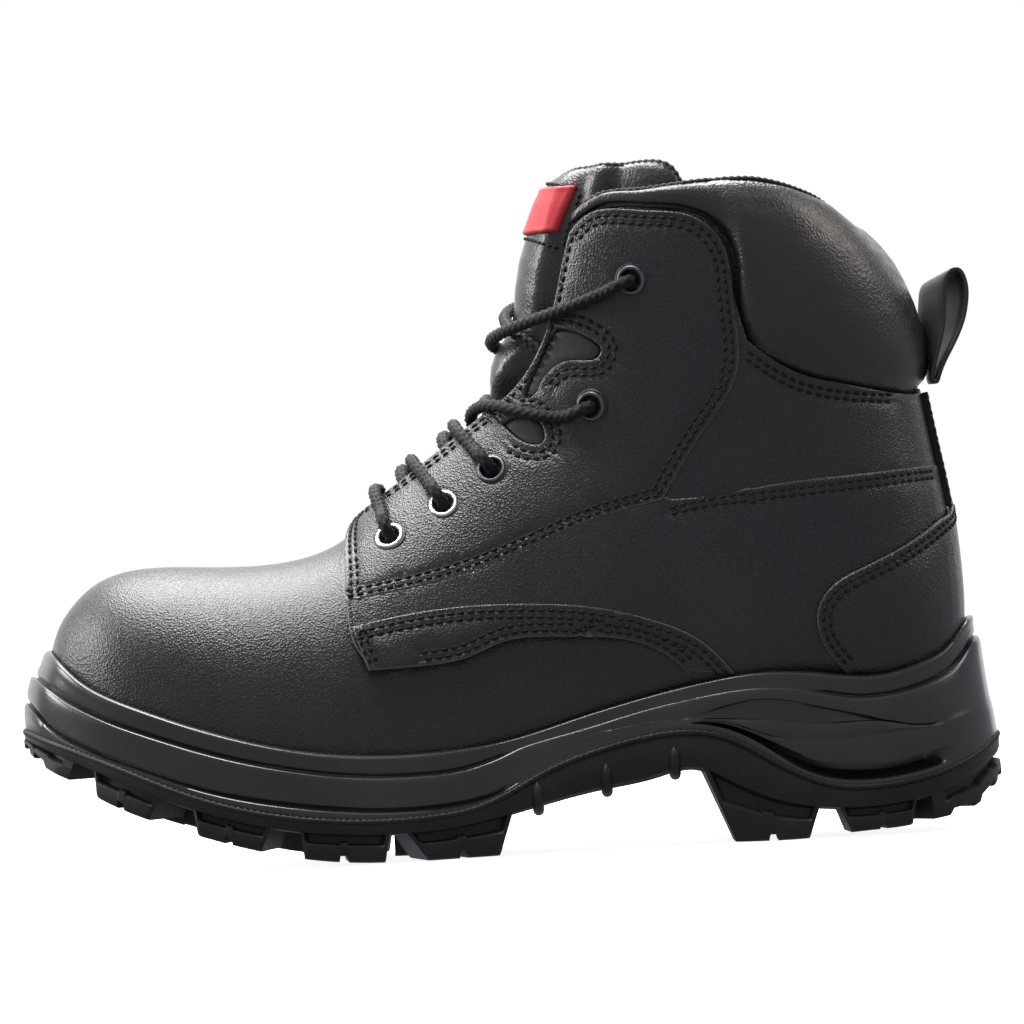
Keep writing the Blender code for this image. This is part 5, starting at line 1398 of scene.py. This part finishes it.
def build_eyestay(side, word):
    """The flap with the eyelets, its cloth facing and its two flex areas. Gives its stitched rows."""
    outline = eyestay_outline() * np.array([1, side])
    rows = seam_rows(THROAT_EDGE[:6], side) + seam_rows(THROAT_EDGE[5:], side, (1.6,))
    rows += seam_rows(FLAP_FRONT[2:], side, count=12) + seam_rows(EYESTAY_REAR, side, (2.0, 4.2), 90)
    rows += seam_rows(EYESTAY_LOWER, side, (1.6, 3.6), 50)
    for nose in (WINDOWS[0][:9], WINDOWS[1][1:7]):
        rows += seam_rows(nose, side, (-2.4, -4.6), 40)
    holes = [ring_on(place, EYELET_HOLE) for place in last.trace(EYELETS, side)]
    holes += [last.trace(smooth([*window, window[0]], 48)[:-1], side) for window in WINDOWS]
    panel(f"eyestay_{word}_leather", outline, over_last(EYESTAY_FACE), LEATHER, "leather",
          [f"eyestay_{word}"], holes, rows)
    panel(f"eyestay_{word}_facing", outline, over_last(FACING_FACE), FACING_CLOTH, "lining", [],
          step=5.0, rounding=0)
    for window, where in zip(WINDOWS, ("upper", "lower")):
        middle = np.mean(window, axis=0)
        inner = smooth([middle + (np.array(place) - middle) * 0.93 for place in (*window, window[0])], 48)
        node = f"flex_inlay_{where}_{word}"
        panel(f"{node}_leather", last.trace(inner[:-1], side), over_last(INLAY_FACE), INLAY_LEATHER, "inlay",
              [node], step=2.0, rounding=0.5)
    return sewn_rows(rows, EYESTAY_FACE)


def build_band(side, word):
    """The band along the flap's lower edge. Gives its stitched rows."""
    face = QUARTER_FACE + PATCH_LEATHER
    lower = [(x, z - 0.2) for x, z in FLAP_LOWER[:7]] + [(54.5, 53.6)]
    outline = np.concatenate([traced(BAND_UPPER, 40), traced(lower, 40)[::-1]]) * np.array([1, side])
    rows = seam_rows(BAND_UPPER, side) + seam_rows(lower[1:], side, [-inset for inset in ROW_INSETS])
    rows += seam_rows(((-43.0, 58.4), (-45.8, 64.2), (-46.8, 71.2)), side, count=12)
    panel(f"side_band_{word}_leather", outline, over_last(face), PATCH_LEATHER, "leather",
          [f"side_band_{word}"], rows=rows)
    return sewn_rows(rows, face)


def build_side(side, word):
    """All the leather of one side, and its stitching."""
    flip = np.array([1, side])
    thread = build_eyestay(side, word)
    seam = seam_rows(MID_SEAM, side)
    panel(f"quarter_{word}_leather", quarter_outline() * flip, over_last(QUARTER_FACE), LEATHER, "leather",
          [f"quarter_{word}"], rows=seam + seam_rows(FLAP_FRONT[:3], side, count=16))
    thread += sewn_rows(seam, QUARTER_FACE)
    collar_seam = seam_rows(((79.4, 152.6), (92.9, 142.8), (108.2, 138.2), (124.0, 136.6)), side)
    panel(f"ankle_panel_{word}_leather", ankle_outline() * flip, 0.0, LEATHER, "leather",
          [f"ankle_panel_{word}"], rows=collar_seam)
    thread += [sewn(row, -STITCH_SINK) for row in collar_seam]
    thread += build_band(side, word)
    stitches(f"stitching_{word}", thread)


def build_back():
    """The heel patch, the tape down the back seam, and their stitching."""
    edge = traced(HEEL_PATCH_EDGE, 30)
    base = last.trace([(x, float(rim_top(x)) - 0.8) for x in (136.5, 132, 126, 121, 116, 111, 106)])
    peak = [(last.back_u(HEEL_PATCH_BACK_Z), 1.0)]
    outline = np.concatenate([[(last.back_u(63.2), 1.0)], base, edge, peak])
    top = PATCH_GAP + PATCH_LEATHER
    full = respaced(np.concatenate([edge, peak]), 2.0)
    rows = [round_back(shift(full, distance)) for distance in ROW_INSETS]
    panel("heel_patch_leather", round_back(outline)[1:], top, PATCH_LEATHER, "leather",
          ["heel_patch"], rows=rows)
    stitches("heel_patch_stitching", [sewn(row, top - 0.22) for row in rows])
    strip = back_line(HEEL_PATCH_BACK_Z - 1.8, 134.8, 12, a=1.0 - 0.035)
    panel("back_strip_tape", round_back(strip), PATCH_GAP + 1.2, TAPE, "tape", ["back_strip"],
          step=0.9, rounding=0.4, relief=lambda surface: 0.12 * np.sin(surface[:, 2] * 2 * math.pi / 1.6))


def collar_ring(low, high, size):
    """One section of the padded collar: from its lower edge up to its upper edge, and back down inside."""
    tall = np.linalg.norm(last.on(*low) - last.on(*high))
    puff = min(5.5, 0.16 * tall)
    shape = ((-1.6 / tall, -1.7), (0.0, -1.0), (0.045, puff * 0.30), (0.12, puff * 0.66), (0.4, puff),
             (0.75, puff * 0.78), (0.93, puff * 0.2), (1.0, -1.4), (1.03, -4.0), (0.93, -8.4), (0.6, -9.6),
             (0.25, -8.2), (0.02, -4.4), (-1.6 / tall, -2.9))
    if tall < 14:
        shape = tuple((r, d if d > -2 else max(d, -4.6)) for r, d in shape)
    ring = smooth([(r * tall, d) for r, d in (*shape, shape[0])], size + 1)[:-1] / [tall, 1.0]
    places = low + (high - low) * ring[:, :1]
    return last.off(places[:, 0], places[:, 1], ring[:, 1])


def collar_rings(count, size):
    """Rings of the padded collar, finely spaced, from one front end round the back to the other."""
    edges = []
    for line, back_z in ((COLLAR_LOWER, COLLAR_BACK_LOWER_Z), (COLLAR_TOP, COLLAR_BACK_TOP_Z)):
        edges.append(smooth(np.concatenate([traced(line, 12), [(last.back_u(back_z), 1.0)]]), count))
    rings = np.array([collar_ring(low, high, size) for low, high in zip(*edges)])
    other = rings[-2::-1].copy()
    other[..., 1] = 2 * midline(other[..., 0]) - other[..., 1]
    return np.concatenate([rings, other])


def folded(points, normals, depth):
    """Soft folds pressed into a padded surface, deeper where the pad bends."""
    x, y, z = points.T
    wave = np.sin(0.21 * x + 0.34 * z + 0.8 * np.sin(0.09 * z + 0.05 * y))
    wave = wave * np.sin(0.11 * x - 0.23 * z + 0.13 * y)
    small = np.sin(0.63 * x - 0.41 * z + 1.3 * np.sin(0.17 * x)) * np.sin(0.37 * z + 0.29 * y)
    return points + normals * (depth * (0.75 * wave + 0.3 * small))[:, None]


def build_collar():
    """The padded collar, with a bound top edge and a sunk seam below."""
    rings = collar_rings(64, 40)
    points, faces = loft(rings)
    normals = unit(rings - rings.mean(1, keepdims=True)).reshape(-1, 3)
    points = folded(points, normals, 0.14)
    made = piece("collar_padding", (points, faces), "nappa", ["collar"], sharp=180)
    top = np.array([ring[np.argmax(ring[:, 2])] for ring in rings])
    line = smooth(top[2:-2], 700) + np.array([0, 0, 0.1])
    piece("collar_binding", bound(line, 0.75, 0.16), "tape", sharp=80)


def tongue_depth(u, v):
    """Offset of the tongue's outer face: proud between the flaps at the ankle, deep elsewhere."""
    mm = v * span(u)
    edge = throat_v(u) * span(u)
    middle = np.interp(u, *np.transpose(TONGUE_MIDDLE))
    at_edge = np.minimum(middle, -6.9)
    side = -8.8 - 3.0 * ease((u - last.uv(6.0, 174.0)[0]) / 0.12)
    depth = middle + (at_edge - middle) * ease((mm - edge + 13.0) / 10.0)
    return depth + (side - at_edge) * ease((mm - edge) / 9.0)


def tongue_on(u, a, lift):
    """Points that far over the tongue's outer face."""
    return last.off(u, a, tongue_depth(u, np.abs(a)) + lift)


def tongue_places(rows, columns):
    """Half of the tongue in u and a: rows up the tongue, columns from its middle to its side edge."""
    side = smooth(last.trace(TONGUE_SIDE) * FLAT, rows) / FLAT
    top = smooth(last.trace(TONGUE_TOP) * FLAT, columns) / FLAT
    top[0, 1] = 0.0
    middle = np.stack([np.linspace(last.uv(-47.0, 98.0)[0], top[0, 0], rows), np.zeros(rows)], axis=1)
    bottom = middle[0] + (side[0] - middle[0]) * np.linspace(0, 1, columns)[:, None]
    r = np.linspace(0, 1, rows)[:, None, None]
    c = np.linspace(0, 1, columns)[None, :, None]
    bottom_bow = bottom[None] - (1 - c) * bottom[0] - c * bottom[-1]
    top_bow = top[None] - (1 - c) * top[0] - c * top[-1]
    return middle[:, None] * (1 - c) + side[:, None] * c + bottom_bow * (1 - r) + top_bow * r


def build_tongue():
    """The padded tongue: puffed faces, thin sewn edges, and a bound top."""
    half = tongue_places(110, 40)
    whole = np.concatenate([half[:, ::-1], half[:, 1:] * [1, -1]], axis=1)
    u, a = whole[..., 0], whole[..., 1]
    rows, columns = u.shape
    r = np.linspace(0, 1, rows)[:, None]
    c = np.abs(np.linspace(-1, 1, columns))[None, :]
    near_edge = np.minimum(1, np.minimum((1 - c) * 8, np.minimum((1 - r) * 22, r * 40)))
    tuck = (1 - np.sqrt(np.clip(1 - (1 - near_edge) ** 2, 0.02, 1))) * TONGUE_EDGE_TUCK
    outer, inner = tongue_on(u, a, -tuck), tongue_on(u, a, tuck - TONGUE_THICKNESS)
    outer = folded(outer.reshape(-1, 3), last.normal(u, a).reshape(-1, 3), 0.05).reshape(outer.shape)
    made = piece("tongue_padding", slab(outer, inner), "nappa", ["tongue"], body="tongue",
                 sharp=180)
    rim = smooth((outer[-1] + inner[-1]) / 2, 360)
    piece("tongue_binding", bound(rim, 0.85, 0.14), "tape", body="tongue", sharp=80)


def level(u, a, height):
    """u where the tongue's face at each a comes to a height."""
    for _ in range(4):
        z = tongue_on(u, a, 1.0)[..., 2]
        rise = (tongue_on(u + 0.002, a, 1.0)[..., 2] - z) / 0.002
        u = u + (height - z) / rise
    return u


def build_label():
    """The blank red label: a raised rim round a flat field, sewn on by a row of black stitches."""
    low, high = (last.uv(*place)[0] for place in LABEL)
    r = np.linspace(0, 1, 30)[:, None]
    c = np.linspace(-1, 1, 70)[None, :]
    mm = LABEL_HALF * -c + 0 * r
    middle = low + (high - low) * r + 0 * c
    u = level(middle, mm / span(middle), LABEL[0][1] + (LABEL[1][1] - LABEL[0][1]) * r + 0 * c)
    inward = np.minimum((1 - np.abs(c)) * LABEL_HALF, np.minimum(r, 1 - r) * LABEL_TALL)
    lift = 0.9 + 0.65 * np.sqrt(np.clip(1 - (1 - np.clip(inward / 0.6, 0, 1)) ** 2, 0, 1))
    lift = lift - 0.22 * ease((inward - 1.3) / 0.4)
    a = mm / span(u)
    piece("tongue_label_rubber", slab(tongue_on(u, a, lift), tongue_on(u, a, 0.25)), "label",
          ["tongue_label"], body="tongue", sharp=60)
    margin, half = (high - low) * LABEL_MARGIN / LABEL_TALL, LABEL_HALF + LABEL_MARGIN
    corners = [(low - margin, -half), (low - margin, half), (high + margin, half), (high + margin, -half)]
    rows = []
    for one, two in zip(corners, corners[1:] + corners[:1]):
        u, mm = np.linspace(one, two, 60).T
        rows.append((tongue_on(u, mm / span(u), 0.1), last.normal(u, mm / span(u))))
    stitches("label_stitching", rows, "tongue", pitch=2.2, length=1.8)


# ---------------------------------------------------------------- fastenings

# Profiles, as radius and height over the flap.
EYELET_RING = (
    (3.05, 0.2), (3.1, 0.75), (3.4, 1.15), (3.85, 1.3), (4.3, 1.2), (4.55, 0.95), (4.6, 0.55), (3.4, 0.45),
    (3.4, -2.7), (4.5, -2.7), (4.6, -3.0), (4.3, -3.2), (3.05, -3.2),
)
EYELET_WASHER = ((3.6, 0.42), (4.7, 0.62), (5.1, 0.6), (5.35, 0.35), (5.4, 0.06), (3.6, 0.06))


def build_eyelets():
    """Each eyelet: a rolled metal ring with a black washer round it. The two lowest get pale metal as a
    painted reflection; on the boot all are the same dark metal.
    """
    for side, word in SIDES:
        for number, (x, z) in enumerate(EYELETS, 1):
            u, v = last.uv(x, z)
            matrix = stand(u, v * side, float(flap_rise(x, z)))
            # Painted reflection: the two lowest rings are pale because the same dark metal catches the light
            # there.
            finish = "eyelet_painted_reflection" if number < 3 else "dark"
            node = f"eyelet_{word}_{number}"
            piece(f"{node}_ring", turned(EYELET_RING, 40, matrix), finish, [node])
            piece(f"{node}_washer", turned(EYELET_WASHER, 40, matrix), "washer")


def eyelet_place(row, side):
    """u and a of an eyelet, counted from the lowest."""
    u, v = last.uv(*EYELETS[row])
    return np.array([u, v * side])


def toward(start, end, distance):
    """The place that lies some mm from one place towards another."""
    step = (end - start) * 0.02
    return start + step * distance / np.linalg.norm(last.on(*(start + step)) - last.on(*start))


def eyelet_passage(row, side, before, after):
    """The lace over the flap, down through an eyelet and on inside, from one place towards the next."""
    place_uv = eyelet_place(row, side)
    rise = float(flap_rise(*EYELETS[row]))
    steps = ((before, 7.6, 3.0), (before, 4.2, 4.1), (before, 1.2, 2.9), (before, 0.2, 0.2),
             (after, 0.0, -3.6), (after, 2.2, -6.0), (after, 6.0, -6.1))
    return [last.off(*toward(place_uv, end, mm), rise + height) for end, mm, height in steps]


def over_flap(place_uv, height):
    """A point over a flap, which itself rises a little towards the toe."""
    x, _, z = last.on(*place_uv)
    return last.off(*place_uv, float(flap_rise(x, z)) + height)


def edge_point(u, side, height):
    """A point over the throat's edge."""
    return over_flap(np.array([u, throat_v(u) * side]), height)


def edge_place(start, end):
    """Where the straight line between two places crosses the throat's edge, nearest its end on a flap."""
    share = np.linspace(0, 1, 81)[:, None]
    line = start + (end - start) * share
    return line[np.argmin(np.abs(np.abs(line[:, 1]) - throat_v(line[:, 0])))]


def crossing_place(row, side):
    """Where the strand that leaves an eyelet passes the middle of the throat."""
    start, end = eyelet_place(row, side)[0], eyelet_place(row + 1, -side)[0]
    return np.array([start + (end - start) * LACE_LEVELS[row][0 if side == MEDIAL else 1][0], 0.0])


def crossing(row, side):
    """From inside an eyelet, across the throat and over the other flap to the next row."""
    middle, up = crossing_place(row, side), eyelet_place(row + 1, -side)
    out, over = edge_place(middle, eyelet_place(row, side)), edge_place(middle, up)
    height = LACE_LEVELS[row][0 if side == MEDIAL else 1][1]
    between = out + (middle - out) * 0.4
    clear = max(float(tongue_depth(between[0], abs(between[1]))) + 2.25, -4.4)
    points = [last.off(*out, -4.3), last.off(*between, clear), last.off(*middle, height),
              edge_point(over[0], -side, 2.6)]
    return points + [over_flap((over + up) / 2, 2.6)] if row > 1 else points


def tail_points(places, side):
    """Points of a lace tail or tip, from places in side view with their depth under the last."""
    return [last.off(*last.trace([(x, z)], side)[0], depth) for x, z, depth in places]


def lace_chain(side):
    """From the middle of the lowest bar to the end of one tail."""
    share, height = LACE_BAR
    low, next_up = eyelet_place(0, side)[0], eyelet_place(1, side)[0]
    before = np.array([low + (next_up - low) * share, 0.0])
    edge = edge_place(before, eyelet_place(0, side))
    points = [last.off(*before, height), edge_point(edge[0], side, 2.9)]
    for row in range(len(EYELETS) - 1):
        after = crossing_place(row, side)
        points += eyelet_passage(row, side, before, after) + crossing(row, side)
        before, side = after, -side
    points += eyelet_passage(len(EYELETS) - 1, side, before, last.trace([TAIL[0][:2]], side)[0])[:-2]
    return points + tail_points(TAIL, side)


def braid(turn, run):
    """Height of a round braid: two sets of strands that pass over and under each other."""
    pitch = 2 * math.pi * run / 5.2
    one, two = 4 * turn + 2 * pitch, 4 * turn - 2 * pitch
    over = np.sin(4 * turn) * np.sin(2 * pitch)
    return 0.34 * np.maximum(np.cos(one) * (over > -0.2), np.cos(two) * (over < 0.2))


def build_lace():
    """The round braided lace, its tails tucked in beside the tongue, and its two tips."""
    points = np.array(lace_chain(LATERAL)[::-1] + lace_chain(MEDIAL)[1:])
    line = smooth(points, round(runs(smooth(points, 400))[-1] / 0.42))
    lace = piece("lace_braid", tube(line, LACE_RADIUS, 24, braid), "lace", ["lace"], sharp=180)
    for side, number in ((LATERAL, 1), (MEDIAL, 2)):
        tip = np.linspace(*tail_points(AGLET, side), 24)
        radius = AGLET_RADIUS * np.sqrt(np.clip(1 - np.abs(np.linspace(-1, 1, 24)) ** 30, 0.03, 1))
        node = f"aglet_{number}"
        piece(f"{node}_tip", tube(tip, radius, 14), "plastic", [node])


def build_loop():
    """The pull loop: a folded leather strap with rounded edges, which turns and leans as it rises."""
    path = smooth(LOOP_PATH, 120)
    tall = max(z for _, z in LOOP_PATH)
    half, thick, corner = LOOP_HALF_WIDTH, LOOP_THICKNESS / 2, 0.45
    face = [(y, -thick) for y in (-half + corner, -half / 2, 0, half / 2, half - corner)]
    edge = [(half - 0.12, -thick + 0.14), (half, 0.0), (half - 0.12, thick - 0.14)]
    section = face + edge + [(-y, -away) for y, away in face + edge]

    def at(x, z, nx, nz, y, away):
        turn, lean = LOOP_TURN * ease(z / tall * 1.6), LOOP_LEAN * ease(z / tall * 1.3)
        return (LOOP_ROOT[0] + x + away * nx - y * math.sin(turn),
                float(midline(LOOP_ROOT[0])) + y * math.cos(turn),
                LOOP_ROOT[1] + z + away * nz - y * math.sin(lean))

    rings = [[at(*place, *normal, y, away) for y, away in section]
             for place, normal in zip(path, -outward(path))]
    piece("pull_loop_strap", loft(rings, closed=True), "inlay", ["pull_loop"], body="pull_loop")


def build_all():
    """Every piece of the boot, in the order in which each is added."""
    build_midsole()
    build_outsole()
    build_sole_welt()
    build_linings()
    build_footbed()
    dress_hidden_nodes()
    build_vamp()
    for side, word in SIDES:
        build_side(side, word)
    build_back()
    build_collar()
    build_tongue()
    build_label()
    build_eyelets()
    build_lace()
    build_loop()


# ---------------------------------------------------------------- view and light

# The camera's aim, distance and field of view in metres, and its roll.
VIEW_POINT = (0.004, 0.0, 0.105)
VIEW_DISTANCE = 3.0
VIEW_WIDTH = 0.3187
VIEW_ROLL = math.radians(3.13)
SURROUND = 0.45
# Area lights: place and aim in metres, width and height, watts and colour.
LIGHTS = (
    ("overhead", (-0.24, -0.18, 0.95), (-0.04, 0.0, 0.08), (0.42, 0.34), 11.0, (1, 1, 1)),
    ("rear_overhead", (-0.10, 0.40, 0.90), (0.0, 0.0, 0.10), (0.9, 0.5), 20.0, (1, 1, 1)),
    ("backdrop", (-0.1, 1.2, 0.5), (0.0, 0.0, 0.12), (2.4, 1.2), 9.0, (1, 1, 1)),
    ("toe_side", (-1.1, 0.15, 0.55), (-0.05, 0, 0.10), (0.5, 0.7), 14.0, (1.0, 0.98, 0.95)),
    ("heel_side", (1.0, 0.1, 0.8), (0.10, 0, 0.12), (0.4, 0.6), 4.0, (1.0, 0.93, 0.84)),
)


def place_camera():
    """Square on to the outer side, through a long lens, rolled a little."""
    data = bpy.data.cameras.new("view")
    camera = bpy.data.objects.new("view", data)
    bpy.context.scene.collection.objects.link(camera)
    right = Vector((math.cos(VIEW_ROLL), 0, -math.sin(VIEW_ROLL)))
    up = Vector((math.sin(VIEW_ROLL), 0, math.cos(VIEW_ROLL)))
    back = Vector((0, -1, 0))
    turn = Matrix((right, up, back)).transposed().to_4x4()
    camera.matrix_world = Matrix.Translation(Vector(VIEW_POINT) + back * VIEW_DISTANCE) @ turn
    data.sensor_width = 36.0
    data.lens = data.sensor_width * VIEW_DISTANCE / VIEW_WIDTH
    data.clip_end = 50.0
    bpy.context.scene.camera = camera


def area_light(name, place, aim, size, power, colour):
    """A rectangular light that faces a point."""
    data = bpy.data.lights.new(name, "AREA")
    data.shape = "RECTANGLE"
    data.size, data.size_y = size
    data.energy = power
    data.color = colour
    light = bpy.data.objects.new(name, data)
    bpy.context.scene.collection.objects.link(light)
    light.location = place
    light.rotation_euler = (Vector(aim) - Vector(place)).to_track_quat("-Z", "Y").to_euler()


def fill_world():
    """A pale surround that lights the boot, and plain white behind it."""
    world = bpy.data.worlds.new("room")
    bpy.context.scene.world = world
    world.use_nodes = True
    nodes, links = world.node_tree.nodes, world.node_tree.links
    seen, surround = nodes.new("ShaderNodeBackground"), nodes["Background"]
    for node, colour, strength in ((seen, (1, 1, 1, 1), 1.0), (surround, (0.91, 0.89, 1.0, 1), SURROUND)):
        node.inputs["Color"].default_value = colour
        node.inputs["Strength"].default_value = strength
    mix, rays = nodes.new("ShaderNodeMixShader"), nodes.new("ShaderNodeLightPath")
    links.new(rays.outputs["Is Camera Ray"], mix.inputs["Fac"])
    links.new(surround.outputs["Background"], mix.inputs[1])
    links.new(seen.outputs["Background"], mix.inputs[2])
    links.new(mix.outputs["Shader"], nodes["World Output"].inputs["Surface"])


def lay_floor():
    """A pale floor that glows softly. It lights nothing and isn't mirrored in the boot."""
    mesh = bpy.data.meshes.new("floor")
    work = bmesh.new()
    bmesh.ops.create_grid(work, x_segments=1, y_segments=1, size=8.0)
    work.to_mesh(mesh)
    work.free()
    floor = bpy.data.objects.new("floor", mesh)
    bpy.context.scene.collection.objects.link(floor)
    floor.location.z = -0.0005
    floor.visible_diffuse = False
    floor.visible_glossy = False
    made = Shader("pale floor", (0.4, 0.4, 0.4), 0.7, Emission_Strength=0.9)
    made.set(made.shader, "Emission Color", (1.0, 1.0, 1.0, 1.0))
    made.colour(made.blend(made.noise(3.0), (0.38, 0.38, 0.38), (0.42, 0.42, 0.42)))
    mesh.materials.append(made.material)


def light_room():
    """A white studio: soft lights overhead and at both ends, a bright backdrop and a pale floor."""
    fill_world()
    for light in LIGHTS:
        area_light(*light)
    lay_floor()
    bpy.context.scene.view_settings.view_transform = "Standard"


place_camera()
light_room()
build_all()
